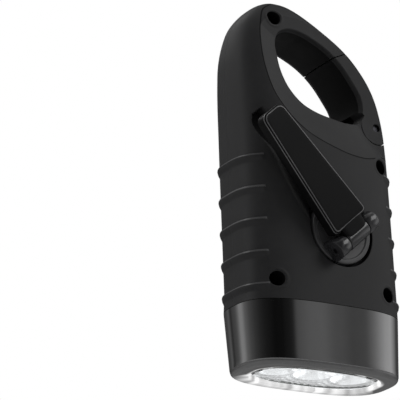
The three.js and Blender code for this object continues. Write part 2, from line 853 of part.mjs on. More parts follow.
function crankHub() {
  const edge = clearance * 2;
  const disc = turned(0, 0, [
    [0, hubFloor], [hubRadius, hubFloor], [hubRadius, hubFace - edge],
    [hubRadius - edge, hubFace], [0, hubFace],
  ], wideSteps);
  const ear = (barrelLength - knuckleLength) / 2 - clearance;
  const lug = barrelRadius * lugShare;
  const ears = [-1, 1].map((side) => {
    const inner = side * (knuckleLength / 2 + clearance);
    const outer = side * (knuckleLength / 2 + clearance + ear);
    const [x0, x1] = [Math.min(inner, outer), Math.max(inner, outer)];
    return join(
      crossRod(barrelY, -barrelOffset, barrelRadius, x0, x1),
      box(x0, x1, hubFace - clearance, barrelY, -barrelOffset - lug, -barrelOffset + lug),
    );
  });
  const bore = hingePinRadius + clearance / 2;
  return cut(
    join(disc, ...ears),
    crossRod(barrelY, -barrelOffset, bore, -barrelLength, barrelLength, smallSteps),
    rod(0, 0, spigotRadius + clearance / 2, hubFloor - overrun, hubFace - clearance * 2),
  );
}

function hingePin() {
  const reach = half(barrelLength) - clearance;
  return crossRod(barrelY, -barrelOffset, hingePinRadius, -reach, reach, smallSteps);
}

// Outline of the arm from its neck to its tip, drawn in by a distance
function armOutline(inset) {
  const root = half(armRootWidth) - inset;
  const tip = half(armTipWidth) - inset;
  const corner = Math.max(armCorner - inset, clearance);
  const shape = new THREE.Shape();
  const start = armNeck + inset;
  const end = armLength - inset;
  shape.moveTo(-root + corner / 2, start);
  shape.lineTo(root - corner / 2, start);
  shape.quadraticCurveTo(root, start, root, start + corner / 2);
  shape.lineTo(tip, end - corner);
  shape.quadraticCurveTo(tip, end, tip - corner, end);
  shape.lineTo(-tip + corner, end);
  shape.quadraticCurveTo(-tip, end, -tip, end - corner);
  shape.lineTo(-root, start + corner / 2);
  shape.quadraticCurveTo(-root, start, -root + corner / 2, start);
  return shape;
}

const knobAlong = armLength - knobFromTip;
const armFace = barrelRadius;
const armUnder = armFace - armSkin;
const knobBoss = 0.6;

function outlineRing(shape, y) {
  const points = shape.getPoints(4);
  if (points[0].distanceTo(points.at(-1)) < 1e-6) points.pop();
  return points.map((p) => new THREE.Vector3(p.x, y, p.y));
}

function crankArm() {
  const outer = [
    outlineRing(armOutline(0), armFace - armDepth),
    outlineRing(armOutline(0), armFace - armBevel),
    outlineRing(armOutline(armBevel), armFace),
  ];
  const shell = cut(loft(outer), prism(armOutline(armRim), armFace - armDepth - overrun, armUnder));
  const knuckle = half(knuckleLength);
  const neck = box(-knuckle, knuckle, armUnder, armFace, 0, armNeck + armRim);
  return cut(
    join(
      shell,
      neck,
      crossRod(0, 0, barrelRadius, -knuckle, knuckle),
      rod(0, knobAlong, knobHeadRadius, armUnder - knobBoss, armFace - armSkin / 2, smallSteps),
    ),
    crossRod(0, 0, hingePinRadius + runningGap, -armRootWidth, armRootWidth, smallSteps),
    rod(0, knobAlong, knobScrewRadius + runningGap, armUnder - overrun, armFace - armSkin / 2, smallSteps),
  );
}

// The knob's tip just clears the body's back as the stowed crank turns
const tiltSin = Math.sin(degrees(crankTilt));
const tiltCos = Math.cos(degrees(crankTilt));
const knobTip = (backFace + knobSweepGap + knobRadius * tiltSin - barrelY - knobAlong * tiltSin) / tiltCos;
const knobTop = armUnder - knobBoss - clearance;

function crankKnob() {
  const edge = clearance * 2;
  const below = knobTip - overrun;
  const seat = knobTip + knobHeadHeight + clearance;
  return cut(
    turned(0, knobAlong, [
      [0, knobTip], [knobRadius - edge, knobTip], [knobRadius, knobTip + edge],
      [knobRadius, knobTop - edge], [knobRadius - edge, knobTop], [0, knobTop],
    ]),
    rod(0, knobAlong, knobScrewRadius + runningGap, below, knobTop + overrun, smallSteps),
    rod(0, knobAlong, knobHeadRadius + runningGap, below, seat, smallSteps),
  );
}

function knobScrew() {
  const seat = knobTip + knobHeadHeight;
  const [low, high] = [knobTip + clearance, armFace - armSkin / 2 - clearance];
  return turned(0, knobAlong, [
    [0, low], [knobHeadRadius, low], [knobHeadRadius, seat], [knobScrewRadius, seat],
    [knobScrewRadius, high], [0, high],
  ], smallSteps);
}

// Solar panel
const solarWidth = width * solarShares[0];
const [solarBottom, solarShoulder, solarTop] = solarShares.slice(1).map(onTrunk);
const solarHeight = solarShoulder - solarBottom;
const solarArch = solarTop - solarShoulder;
const cellWidth = solarWidth - 2 * solarMargin;
const cellBottom = solarBottom + solarSill;
const cellHeight = solarHeight - solarSill - solarHead;
function solarShape(inset) {
  const halfX = half(solarWidth) - inset;
  const low = solarBottom + inset;
  const shoulder = solarBottom + solarHeight - solarCorner;
  const top = solarBottom + solarHeight + solarArch - inset;
  const corner = Math.max(solarCorner - inset, clearance);
  const shape = new THREE.Shape();
  shape.moveTo(-halfX + corner, low);
  shape.lineTo(halfX - corner, low);
  shape.quadraticCurveTo(halfX, low, halfX, low + corner);
  shape.lineTo(halfX, shoulder);
  shape.quadraticCurveTo(halfX, shoulder + corner, halfX - corner, shoulder + corner + solarArch / 4);
  shape.quadraticCurveTo(half(halfX), top, 0, top);
  shape.quadraticCurveTo(-half(halfX), top, -halfX + corner, shoulder + corner + solarArch / 4);
  shape.quadraticCurveTo(-halfX, shoulder + corner, -halfX, shoulder);
  shape.lineTo(-halfX, low + corner);
  shape.quadraticCurveTo(-halfX, low, -halfX + corner, low);
  return shape;
}

const cellFront = solarFront + cellSetback;
const cellBack = cellFront + cellThickness;

function cellBox(grow, y0, y1) {
  const reach = half(cellWidth) + grow;
  return box(-reach, reach, y0, y1, cellBottom - grow, cellBottom + cellHeight + grow);
}

function solarFrame() {
  const body = loft([
    outlineRing(solarShape(solarBevel), solarFront),
    outlineRing(solarShape(0), solarFront + solarBevel),
    outlineRing(solarShape(0), solarBack),
  ]);
  const window = (out, y) => [
    [-1, -1], [1, -1], [1, 1], [-1, 1],
  ].map(([sx, sz]) => new THREE.Vector3(
    sx * (half(cellWidth) + out),
    y,
    cellBottom + half(cellHeight) + sz * (half(cellHeight) + out),
  ));
  return cut(
    body,
    loft([
      window(windowBevel, solarFront - clearance), window(0, cellFront - clearance),
      window(0, solarBack + overrun),
    ]),
    cellBox(cellLap + clearance, cellFront - clearance, solarBack + overrun),
  );
}

function solarCell() {
  return cellBox(cellLap, cellFront, cellBack);
}

// Case shells
const screwPlaces = [
  ...lowScrewShares.map((share) => [share * halfWidth, bezelHeight + lowScrewRise]),
  ...caseScrewShares.map(onHead),
];
const shelfTop = bezelHeight + seam + collarShelf;
const cavityTop = shoulderHeight + plateMargin;

function cavity() {
  const rings = [];
  const steps = 3;
  const full = shoulderHeight - plateMargin;
  for (let i = 0; i <= steps; i += 1) {
    rings.push(bodySection(blend(shelfTop, full, i / steps), wall));
  }
  const { halfX, centre } = bodyAt(cavityTop);
  const top = [halfX * cavityTopShare, half(loopThickness) - wall];
  rings.push(section(...top, cavityTop, centre, roundness, innerSteps));
  return loft(rings);
}

function collar() {
  const inset = bezelWall + clearance;
  const low = bezelHeight - collarDrop;
  const inner = (z) => bezelRing(z, inset + collarWall);
  return cut(
    loft([bezelRing(low, inset), bezelRing(bezelHeight, inset), bezelRing(shelfTop, inset)]),
    loft([inner(low - overrun), inner(shelfTop + overrun)]),
  );
}

function ribBand(z) {
  const rise = half(ribWidth);
  const crown = rise * ribCrownShare;
  const rings = [[-rise, 0], [-crown, 1], [crown, 1], [rise, 0]].map(([dz, share]) => (
    bodySection(z + dz, 0, ribHeight * share, ribHeight * ribCrownShare * share)
  ));
  const { halfX, centre } = bodyAt(z);
  const span = halfX - ribReach;
  const ring = loft(rings);
  const middle = box(centre - span, centre + span, -depth, depth, z - ribWidth, z + ribWidth);
  return cut(ring, middle);
}

const buttonHeight = onTrunk(buttonShare);
const buttonX = bodyAt(buttonHeight).centre - bodyAt(buttonHeight).halfX;

// Stadium outline in Y and Z, pushed along X
function stadium(grow, x0, x1) {
  const straight = half(buttonLength - buttonWidth);
  const radius = half(buttonWidth) + grow;
  const shape = new THREE.Shape();
  shape.absarc(straight, 0, radius, -Math.PI / 2, Math.PI / 2);
  shape.absarc(-straight, 0, radius, Math.PI / 2, Math.PI * 3 / 2);
  const geometry = new THREE.ExtrudeGeometry(shape, {
    depth: x1 - x0,
    bevelEnabled: false,
    curveSegments: 8,
  });
  geometry.rotateX(Math.PI / 2);
  geometry.rotateZ(Math.PI / 2);
  geometry.computeBoundingBox();
  const { min } = geometry.boundingBox;
  geometry.translate(x0 - min.x, 0, buttonHeight);
  return solid(geometry);
}

const flangeOuter = buttonX + wall + clearance * 5;
const flangeInner = flangeOuter + buttonFlangeThickness;

function powerButton() {
  return join(
    stadium(0, buttonX - buttonProud, flangeInner),
    stadium(buttonFlange, flangeOuter, flangeInner),
  );
}

const switchFront = flangeInner + buttonTravel + clearance;
const riserLeft = switchFront + switchLength + clearance;

function switchBody() {
  const block = (x0, x1, reach) => (
    box(x0, x1, -reach, reach, buttonHeight - reach, buttonHeight + reach)
  );
  const rise = half(switchWidth);
  return join(
    block(switchFront + clearance * 3, switchFront + switchLength, rise),
    block(switchFront, switchFront + switchLength / 2, rise / 3),
  );
}

function circuitBoard() {
  const right = half(boardWidth);
  const rise = half(switchWidth) + riserThickness;
  const [low, high] = [buttonHeight - rise, buttonHeight + rise];
  const top = boardBottom + boardHeight;
  const chip = ([from, to], z) => (
    box(right * from, right * to, boardBack - clearance, boardBack + boardThickness, z, z + chipHeight)
  );
  return join(
    box(-right, right, boardFront, boardBack, boardBottom, top),
    box(riserLeft, -right + boardThickness, boardFront, boardBack, low, high),
    box(riserLeft, riserLeft + riserThickness, boardFront, half(switchWidth), low, high),
    chip(chipShares[0], boardBottom + wall),
    chip(chipShares[1], top - wall - chipHeight),
  );
}

const cellRadius = depth * batteryShares[0];
const cellLength = width * batteryShares[1];
const batteryZ = shelfTop + cellHeightAboveShelf + cellRadius;

function batteryCell() {
  const reach = half(cellLength);
  const nub = cellRadius / 3;
  const bar = crossRod(-batteryForward, batteryZ, cellRadius, -reach, reach);
  return join(bar, crossRod(-batteryForward, batteryZ, nub, -reach, reach + clearance * 4, smallSteps));
}

function wireSpring() {
  const radius = springPocketRadius - springWire - clearance;
  const span = springPocketDepth - springWire * 3;
  const points = [];
  const steps = springTurns * springTurnSteps;
  for (let i = 0; i <= steps; i += 1) {
    const turn = 2 * Math.PI * i / springTurnSteps;
    points.push(new THREE.Vector3(
      pivotX + radius * Math.cos(turn),
      -span / 2 + span * i / steps,
      pivotZ + radius * Math.sin(turn),
    ));
  }
  const curve = new THREE.CatmullRomCurve3(points);
  const wire = new THREE.Shape();
  for (let i = 0; i < springWireSteps; i += 1) {
    const turn = 2 * Math.PI * i / springWireSteps;
    const x = half(springWire) * Math.cos(turn);
    const y = half(springWire) * Math.sin(turn);
    if (i) wire.lineTo(x, y);
    else wire.moveTo(x, y);
  }
  return solid(new THREE.ExtrudeGeometry(wire, { steps, extrudePath: curve, curveSegments: 1 }));
}

// The loop, opened and stepped, before the gate is parted from it
const form = cut(outerForm(), recessTool(1), recessTool(-1), openingTool());

function gate() {
  const slot = half(tongueThickness) + clearance;
  return cut(
    form.intersect(prism(gateZone(0), -depth, depth)),
    rod(pivotX, pivotZ, gateRadius + wall / 2, -slot, slot),
    rod(pivotX, pivotZ, gatePinRadius + runningGap, -depth, depth, smallSteps),
  );
}

function tongue() {
  const cheek = half(tongueThickness);
  const drop = gateRadius + wall;
  const reach = tongueRadius * tongueShare;
  return cut(
    join(
      rod(pivotX, pivotZ, tongueRadius, -cheek, cheek),
      box(pivotX - reach, pivotX + reach, -cheek, cheek, pivotZ - drop, pivotZ),
    ),
    rod(pivotX, pivotZ, gatePinRadius + clearance / 2, -depth, depth, smallSteps),
    rod(pivotX, pivotZ, springPocketRadius, -half(springPocketDepth), half(springPocketDepth)),
  );
}

function gatePin() {
  const reach = half(loopThickness) - gatePinSetback;
  return rod(pivotX, pivotZ, gatePinRadius, -reach, reach, smallSteps);
}

// The casing in one piece, with ribs, cavity and collar, before it is split into its shells
function casing() {
  const gateCut = prism(gateZone(gateFit), -depth, depth);
  const [ribLow, ribHigh] = ribShares.map(onTrunk);
  const ribs = Array.from({ length: ribCount }, (_, i) => (
    ribBand(blend(ribLow, ribHigh, i / (ribCount - 1)))
  ));
  const low = box(-width, width, -depth, depth, -overrun, bezelHeight + seam);
  const outside = cut(join(cut(form, gateCut), ...ribs), low);
  const above = box(-width, width, -depth, depth, shelfTop, height);
  return join(cut(outside, cavity()), cut(collar(), above), shelf(), tongue());
}

// The shelf that ties the collar to the wall above it
function shelf() {
  const z0 = bezelHeight + seam;
  const inset = bezelWall + clearance + collarWall;
  return cut(
    loft([bodySection(z0, wall / 2), bodySection(shelfTop, wall / 2)]),
    loft([bezelRing(z0 - overrun, inset), bezelRing(shelfTop + overrun, inset)]),
  );
}

function screwBoss(x, z, y0, y1) {
  return rod(x, z, screwBossRadius, y0, y1);
}

// Rods of one size along Y at several places
const rodsAt = (places, radius, y0, y1, steps = smallSteps) => (
  places.map(([x, z]) => rod(x, z, radius, y0, y1, steps))
);
const pinPlaces = [[idlerX, idlerZ], [secondX, secondZ]];
const skinBack = halfDepth - wall / 2;

// The shell on the crank's side, with its bosses, the hub's recess and the screw holes
function backShell() {
  const inside = outerForm();
  const bosses = screwPlaces.slice(0, 3).map(([x, z]) => screwBoss(x, z, 0, halfDepth).intersect(inside));
  const upper = casing().intersect(box(-width, width, half(seam), depth, -overrun, height + overrun));
  const body = join(
    upper,
    rod(hubX, hubZ, hubRadius + hubGap + wall, bossFloor, skinBack, wideSteps),
    ...rodsAt(pinPlaces, idlerPinRadius + wall / 2, bossFloor, skinBack),
    ...rodsAt(postPlaces, postRadius, plateBack + clearance, skinBack),
    ...bosses,
  );
  return cut(
    body,
    backHalf(),
    rod(hubX, hubZ, hubRadius + hubGap, recessFloor, depth, wideSteps),
    rod(hubX, hubZ, shaftRadius + runningGap, -depth, depth),
    ...rodsAt(pinPlaces, idlerPinRadius + runningGap, 0, bossFloor + pinSeat),
    ...rodsAt(postPlaces, postScrewRadius + runningGap, 0, plateBack + postScrewRadius * 4),
    ...rodsAt(screwPlaces, counterboreRadius, screwSeat, depth, roundSteps),
    ...rodsAt(screwPlaces, screwShankRadius + clearance, -depth, depth),
    stadium(clearance, buttonX - overrun, buttonX + wall * 2),
    scoopTool(),
  );
}

// Everything on the solar panel's side of the seam
function backHalf() {
  return box(-width, width, -depth, half(seam), -overrun, height + overrun);
}

// The finger scoop under the end of the stowed arm
function scoopTool() {
  const reach = armLength - barrelOffset - knobFromTip;
  const [alongX, alongZ] = [Math.sin(degrees(crankAngle)), Math.cos(degrees(crankAngle))];
  const geometry = new THREE.SphereGeometry(1, roundSteps, smallSteps);
  geometry.scale(scoopRadius, scoopDepth, scoopRadius);
  geometry.translate(
    hubX + reach * alongX + scoopRadius * scoopShares[0],
    halfDepth,
    hubZ + reach * alongZ + scoopRadius * scoopShares[1],
  );
  return solid(geometry);
}

// The shell on the solar panel's side, with the panel's seat, the cell's cradles and the board's posts
function frontShell() {
  const inside = outerForm();
  const bosses = screwPlaces.slice(0, 3).map(([x, z]) => screwBoss(x, z, -halfDepth, 0).intersect(inside));
  const padRing = (y) => outlineRing(solarShape(-wall), y);
  const pad = loft([padRing(-halfDepth + wall / 2), padRing(padBack)]).intersect(inside);
  const right = half(boardWidth) - wall;
  const [low, high] = [boardBottom + wall, boardBottom + boardHeight - wall];
  const padFloor = padBack - solarFloor / 2;
  const corners = [[-right, low], [right, low], [-right, high], [right, high]];
  const cradles = [-1, 1].map((side) => {
    const x = side * cellLength * cradleShare;
    const [z0, z1] = [shelfTop - wall / 2, batteryZ + half(cellRadius)];
    return cut(
      box(x - wall / 2, x + wall / 2, padFloor, -batteryForward, z0, z1),
      crossRod(-batteryForward, batteryZ, cellRadius + clearance, -halfWidth, halfWidth),
    );
  });
  const lower = casing().intersect(box(-width, width, -depth, -half(seam), -overrun, height + overrun));
  const standoffs = rodsAt(corners, postRadius, padFloor, boardFront - clearance);
  const seatRing = (y) => outlineRing(solarShape(-clearance), y);
  return cut(
    join(lower, pad, ...standoffs, ...cradles, ...bosses),
    box(-width, width, -half(seam), depth, -overrun, height + overrun),
    loft([seatRing(-depth), seatRing(solarBack + clearance)]),
    ...rodsAt(screwPlaces, screwShankRadius + runningGap, screwSeat - screwReach * pilotShare, depth),
    stadium(clearance, buttonX - overrun, buttonX + wall * 2),
  );
}

function caseScrew([x, z]) {
  const seat = screwSeat + clearance;
  return turned(x, z, [
    [0, seat - screwReach - screwHeadHeight], [screwShankRadius, seat - screwReach],
    [screwShankRadius, seat], [screwHeadRadius, seat],
    [screwHeadRadius, seat + screwHeadHeight * screwCrownShare], [0, seat + screwHeadHeight],
  ], smallSteps);
}

const flashlight = new THREE.Group();
flashlight.name = 'hand_crank_flashlight';
flashlight.add(
  part('head_bezel', headBezel(), 'bezel'),
  part('lens_seal', lensSeal(), 'seal'),
  part('lens', lens(), 'clear'),
  part('reflector', reflector(), 'chrome'),
  part('led_left', led(cupPlaces[0]), 'light'),
  part('led_centre', led(cupPlaces[1]), 'light'),
  part('led_right', led(cupPlaces[2]), 'light'),
  part('led_board', ledBoard(), 'board'),
  part('front_shell', frontShell(), 'casing'),
  part('back_shell', backShell(), 'casing'),
  part('solar_frame', solarFrame(), 'trim'),
  part('solar_cell', solarCell(), 'solar'),
  part('circuit_board', circuitBoard(), 'board'),
  part('battery_cell', batteryCell(), 'battery'),
  part('switch_body', switchBody(), 'trim'),
  part('power_button', powerButton(), 'seal'),
  part('gate', gate(), 'casing'),
  part('gate_pin', gatePin(), 'steel'),
  part('gate_spring', wireSpring(), 'steel'),
  part('crank_shaft', crankShaft(), 'steel'),
  part('drive_gear', driveGear(), 'gear'),
  part('idler_gear', compoundGear(idlerX, idlerZ, idlerPinionPhase, idlerWheelPhase, 0), 'gear'),
  part('second_idler_gear', compoundGear(secondX, secondZ, secondPinionPhase, secondWheelPhase, 1), 'gear'),
  part('idler_pin', idlerPin(idlerX, idlerZ), 'steel'),
  part('second_idler_pin', idlerPin(secondX, secondZ), 'steel'),
  part('gear_plate', gearPlate(), 'steel'),
  part('generator_rotor', generatorRotor(), 'steel'),
  part('generator_case', generatorCase(), 'steel'),
  part('stator_coil', statorCoil(), 'coil'),
);
postPlaces.forEach((place, i) => flashlight.add(part(`plate_screw_${i + 1}`, plateScrew(place), 'steel')));
screwPlaces.forEach((place, i) => flashlight.add(part(`case_screw_${i + 1}`, caseScrew(place), 'steel')));

turnGroup.add(part('crank_hub', crankHub(), 'crank'), part('hinge_pin', hingePin(), 'steel'));
foldGroup.add(
  part('crank_arm', crankArm(), 'crank'),
  part('crank_knob', crankKnob(), 'crank'),
  part('knob_screw', knobScrew(), 'steel'),
);
flashlight.add(turnGroup);

// The origin lies under the middle of the whole object's box, on its base
flashlight.updateMatrixWorld(true);
const bounds = new THREE.Box3().setFromObject(flashlight);
flashlight.position.y = -(bounds.min.y + bounds.max.y) / 2;
flashlight.updateMatrixWorld(true);

export default flashlight;
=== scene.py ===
"""Dresses the hand crank flashlight: smooth casing, gate, crank, solar panel, lens and their finishes."""

import json
import logging
import math
from dataclasses import dataclass, field
from enum import Enum
from typing import Callable

import bpy
import numpy as np
from mathutils import Matrix, Vector

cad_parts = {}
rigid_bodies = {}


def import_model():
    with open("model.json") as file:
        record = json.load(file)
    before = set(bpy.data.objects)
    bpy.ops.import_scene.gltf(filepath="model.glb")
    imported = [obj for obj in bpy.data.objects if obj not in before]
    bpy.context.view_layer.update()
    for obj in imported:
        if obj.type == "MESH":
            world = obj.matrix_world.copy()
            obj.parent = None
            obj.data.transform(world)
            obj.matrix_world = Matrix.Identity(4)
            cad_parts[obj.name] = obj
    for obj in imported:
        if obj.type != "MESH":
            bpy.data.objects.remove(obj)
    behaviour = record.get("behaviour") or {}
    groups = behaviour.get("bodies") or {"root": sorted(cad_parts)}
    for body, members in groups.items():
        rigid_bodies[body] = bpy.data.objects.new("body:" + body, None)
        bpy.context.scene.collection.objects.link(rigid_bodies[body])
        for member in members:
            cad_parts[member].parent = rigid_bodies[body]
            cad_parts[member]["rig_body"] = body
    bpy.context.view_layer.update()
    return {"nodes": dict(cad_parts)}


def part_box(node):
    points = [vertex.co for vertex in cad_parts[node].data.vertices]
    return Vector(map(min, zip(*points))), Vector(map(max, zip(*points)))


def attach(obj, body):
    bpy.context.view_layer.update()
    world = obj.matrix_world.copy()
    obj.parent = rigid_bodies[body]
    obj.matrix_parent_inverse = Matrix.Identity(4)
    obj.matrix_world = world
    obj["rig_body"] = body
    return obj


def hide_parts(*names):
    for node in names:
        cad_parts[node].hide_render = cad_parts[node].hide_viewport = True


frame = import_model()

LOG = logging.getLogger("flashlight")
MILLIMETRE = 0.001
SHIFT = sum(corner.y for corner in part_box("head_bezel")) / 2 / MILLIMETRE

# Rounding of a cut's rim, in millimetres
SOFT_EDGE = 0.35
# A Mix node's inputs for numbers and for colours, and its output for colours
MIX_FLOATS = (2, 3)
MIX_COLOURS = (6, 7)
MIX_COLOUR_OUT = 2
WHITE = (1.0, 1.0, 1.0, 1.0)

Array = np.ndarray
Node = bpy.types.Node
Socket = bpy.types.NodeSocket
NodeTree = bpy.types.NodeTree
Material = bpy.types.Material
Colour = tuple[float, float, float]


class Side(Enum):
    """The two halves of the casing, by the sign of their Y."""

    FRONT = -1
    BACK = 1


# Plane curves and meshes


def catmull(points: Array, per_segment: int, closed: bool = False) -> Array:
    """Centripetal Catmull-Rom curve: each span is the cubic whose knots are the square roots of the chords.

    Args:
        points: Control points, one per row.
        per_segment: Samples in each span.
        closed: Whether the last point joins the first.

    Returns:
        Points on the curve, one per row; an open curve ends in its last control point.
    """
    if closed:
        ring = np.vstack([points[-1:], points, points[:2]])
    else:
        ring = np.vstack([2 * points[0] - points[1], points, 2 * points[-1] - points[-2]])
    p0, p1, p2, p3 = ring[:-3], ring[1:-2], ring[2:-1], ring[3:]
    d0 = np.linalg.norm(p1 - p0, axis=1)[:, None] ** 0.5
    d1 = np.linalg.norm(p2 - p1, axis=1)[:, None] ** 0.5
    d2 = np.linalg.norm(p3 - p2, axis=1)[:, None] ** 0.5
    start = ((p1 - p0) / d0 - (p2 - p0) / (d0 + d1) + (p2 - p1) / d1) * d1
    end = ((p2 - p1) / d1 - (p3 - p1) / (d1 + d2) + (p3 - p2) / d2) * d1
    t = np.linspace(0, 1, per_segment, endpoint=False)[None, :, None]
    a, b = p1[:, None], p2[:, None]
    m0, m1 = start[:, None], end[:, None]
    curve = (
        (2 * t**3 - 3 * t**2 + 1) * a
        + (t**3 - 2 * t**2 + t) * m0
        + (-2 * t**3 + 3 * t**2) * b
        + (t**3 - t**2) * m1
    ).reshape(-1, points.shape[1])
    return curve if closed else np.vstack([curve, points[-1:]])


def respaced(points: Array, count: int, closed: bool = False) -> Array:
    """Points at even steps of arc length along a polyline.

    Args:
        points: The polyline.
        count: How many points to return.
        closed: Whether the polyline closes on its first point.

    Returns:
        The evenly spaced points.
    """
    line = np.vstack([points, points[:1]]) if closed else points
    length = np.concatenate([[0], np.cumsum(np.linalg.norm(np.diff(line, axis=0), axis=1))])
    at = np.linspace(0, length[-1], count, endpoint=not closed)
    return np.stack([np.interp(at, length, line[:, i]) for i in range(line.shape[1])], axis=1)


def distance_inside(x: Array, z: Array, polygon: Array) -> Array:
    """Signed distance to a closed polygon, positive outside, by the nearest edge and the even-odd rule.

    Args:
        x: Places across.
        z: Places up.
        polygon: Corners of the polygon in X and Z.

    Returns:
        The signed distances, in the shape of x.
    """
    flat = np.stack([x.ravel(), z.ravel()], axis=1)
    start, end = polygon, np.roll(polygon, -1, axis=0)
    edge = end - start
    nearest = np.full(len(flat), np.inf)
    inside = np.zeros(len(flat), bool)
    for a, b, e in zip(start, end, edge):
        along = np.clip(((flat - a) @ e) / max(e @ e, 1e-12), 0, 1)
        nearest = np.minimum(nearest, np.linalg.norm(flat - a - along[:, None] * e, axis=1))
        crosses = (a[1] > flat[:, 1]) != (b[1] > flat[:, 1])
        rise = np.where(crosses, (flat[:, 1] - a[1]) / (b[1] - a[1] + 1e-12), 0)
        inside ^= crosses & (flat[:, 0] < a[0] + rise * e[0])
    return np.where(inside, -nearest, nearest).reshape(x.shape)


def smooth_step(low: float, high: float, value: Array) -> Array:
    """Rises from 0 to 1 between two values as 3t^2 - 2t^3."""
    t = np.clip((value - low) / (high - low), 0, 1)
    return t * t * (3 - 2 * t)


def bulge(share: Array, power: float) -> Array:
    """Height of a superelliptic arch, (1 - s^n)^(1/n), at a share of the way from its middle to its end."""
    return np.clip(1 - share**power, 0, 1) ** (1 / power)


def arcs(pieces: list[tuple], steps: int) -> Array:
    """Rounded corners one after the other, each the quadratic (1 - t)^2 a + 2t (1 - t) b + t^2 c.

    Args:
        pieces: Start a, corner b and end c of each.
        steps: Points on each.

    Returns:
        The points.
    """
    t = np.linspace(0, 1, steps)[:, None]
    a, b, c = (np.array(pieces, float)[:, None, i] for i in range(3))
    return ((1 - t) ** 2 * a + 2 * t * (1 - t) * b + t**2 * c).reshape(-1, 2)


def full_turn(count: int) -> Array:
    """Angles at even steps round a circle."""
    return np.linspace(0, 2 * np.pi, count, endpoint=False)


def circle(radius: Array | float, turn: Array) -> Array:
    """Points at angles on a circle."""
    return np.stack([radius * np.cos(turn), radius * np.sin(turn)], -1)


def put_at(flat: Array, y: Array | float) -> Array:
    """Points in X and Z, put at a Y."""
    return np.stack([flat[:, 0], np.broadcast_to(y, len(flat)), flat[:, 1]], -1)


def level_ring(flat: Array, z: float) -> Array:
    """Points in X and Y, put at a height."""
    return np.column_stack([flat, np.full(len(flat), z)])


def from_axis(points: Array, centre: tuple[float, float]) -> Array:
    """Distance of points from an axis along Y."""
    return np.hypot(points[:, 0] - centre[0], points[:, 2] - centre[1])


@dataclass
class Skin:
    """A mesh as arrays: points, and triangles with a finish number each."""

    points: Array
    faces: Array
    finish: Array

    @staticmethod
    def grid(points: Array, finish: int = 0, wrap: bool = False, flip: bool = False) -> "Skin":
        """Two triangles in each cell of a grid of points.

        Args:
            points: Rows by columns by three.
            finish: Finish number of the faces.
            wrap: Whether the last column joins the first.
            flip: Whether the faces turn the other way.

        Returns:
            The skin.
        """
        rows, columns = points.shape[:2]
        number = np.arange(rows * columns).reshape(rows, columns)
        if wrap:
            number = np.hstack([number, number[:, :1]])
        a, b, c, d = number[:-1, :-1], number[:-1, 1:], number[1:, 1:], number[1:, :-1]
        faces = np.concatenate(
            [np.stack([a, b, c], -1).reshape(-1, 3), np.stack([a, c, d], -1).reshape(-1, 3)]
        )
        if flip:
            faces = faces[:, ::-1]
        return Skin(points.reshape(-1, 3), faces, np.full(len(faces), finish))

    def joined(self, *others: "Skin") -> "Skin":
        """This skin and others as one.

        Args:
            *others: The skins to add.

        Returns:
            The joined skin.
        """
        skins = [self, *others]
        starts = np.cumsum([0] + [len(s.points) for s in skins[:-1]])
        return Skin(
            np.vstack([s.points for s in skins]),
            np.vstack([s.faces + start for s, start in zip(skins, starts)]),
            np.concatenate([s.finish for s in skins]),
        )

    def kept(self, value: Callable[[Array], Array]) -> "Skin":
        """The part where a function of place is not negative, cut cleanly along its zero line.

        Args:
            value: Gives a number for each point.

        Returns:
            The trimmed skin.
        """
        level = value(self.points)
        good = level >= 0
        count = good[self.faces].sum(axis=1)
        whole = self.faces[count == 3]
        points, faces, finish = [self.points], [whole], [self.finish[count == 3]]
        total = len(self.points)
        for wanted in (1, 2):
            chosen = count == wanted
            tri = self.faces[chosen]
            if not len(tri):
                continue
            odd = np.argmax(good[tri] == (wanted == 1), axis=1)
            turned = np.stack([tri[np.arange(len(tri)), (odd + i) % 3] for i in range(3)], axis=1)
            a, b, c = turned.T
            edges = np.concatenate([np.sort(np.stack([a, b], 1), 1), np.sort(np.stack([a, c], 1), 1)])
            unique, back = np.unique(edges, axis=0, return_inverse=True)
            back = back.ravel()
            share = level[unique[:, 0]] / (level[unique[:, 0]] - level[unique[:, 1]])
            start, end = self.points[unique[:, 0]], self.points[unique[:, 1]]
            points.append(start + share[:, None] * (end - start))
            ab, ac = back[: len(tri)] + total, back[len(tri) :] + total
            total += len(unique)
            if wanted == 1:
                faces.append(np.stack([a, ab, ac], 1))
                finish.append(self.finish[chosen])
            else:
                faces += [np.stack([ab, b, c], 1), np.stack([ab, c, ac], 1)]
                finish += [self.finish[chosen]] * 2
        return Skin(np.vstack(points), np.vstack(faces), np.concatenate(finish)).packed()

    def packed(self) -> "Skin":
        """The same skin without the points that no face uses."""
        used = np.unique(self.faces)
        number = np.zeros(len(self.points), int)
        number[used] = np.arange(len(used))
        return Skin(self.points[used], number[self.faces], self.finish)

    def placed(self, matrix: Array) -> "Skin":
        """The same skin moved by a 4 by 4 matrix."""
        return Skin(self.points @ matrix[:3, :3].T + matrix[:3, 3], self.faces, self.finish)

    def drilled(self, centre: tuple[float, float], radius: float) -> "Skin":
        """The part outside a round cut along Y."""
        return self.kept(lambda p: from_axis(p, centre) - radius)

    def flipped(self) -> "Skin":
        """The same skin with its faces turned the other way."""
        return Skin(self.points, self.faces[:, ::-1], self.finish)

    def middles(self) -> Array:
        """The middle of each face."""
        return self.points[self.faces].mean(1)

    def facing(self, towards: Array) -> "Skin":
        """The same skin, turned so that its faces lean in a direction, or in one for each face."""
        a, b, c = (self.points[self.faces[:, i]] for i in range(3))
        lean = (np.cross(b - a, c - a) * towards).sum()
        return self if lean >= 0 else self.flipped()


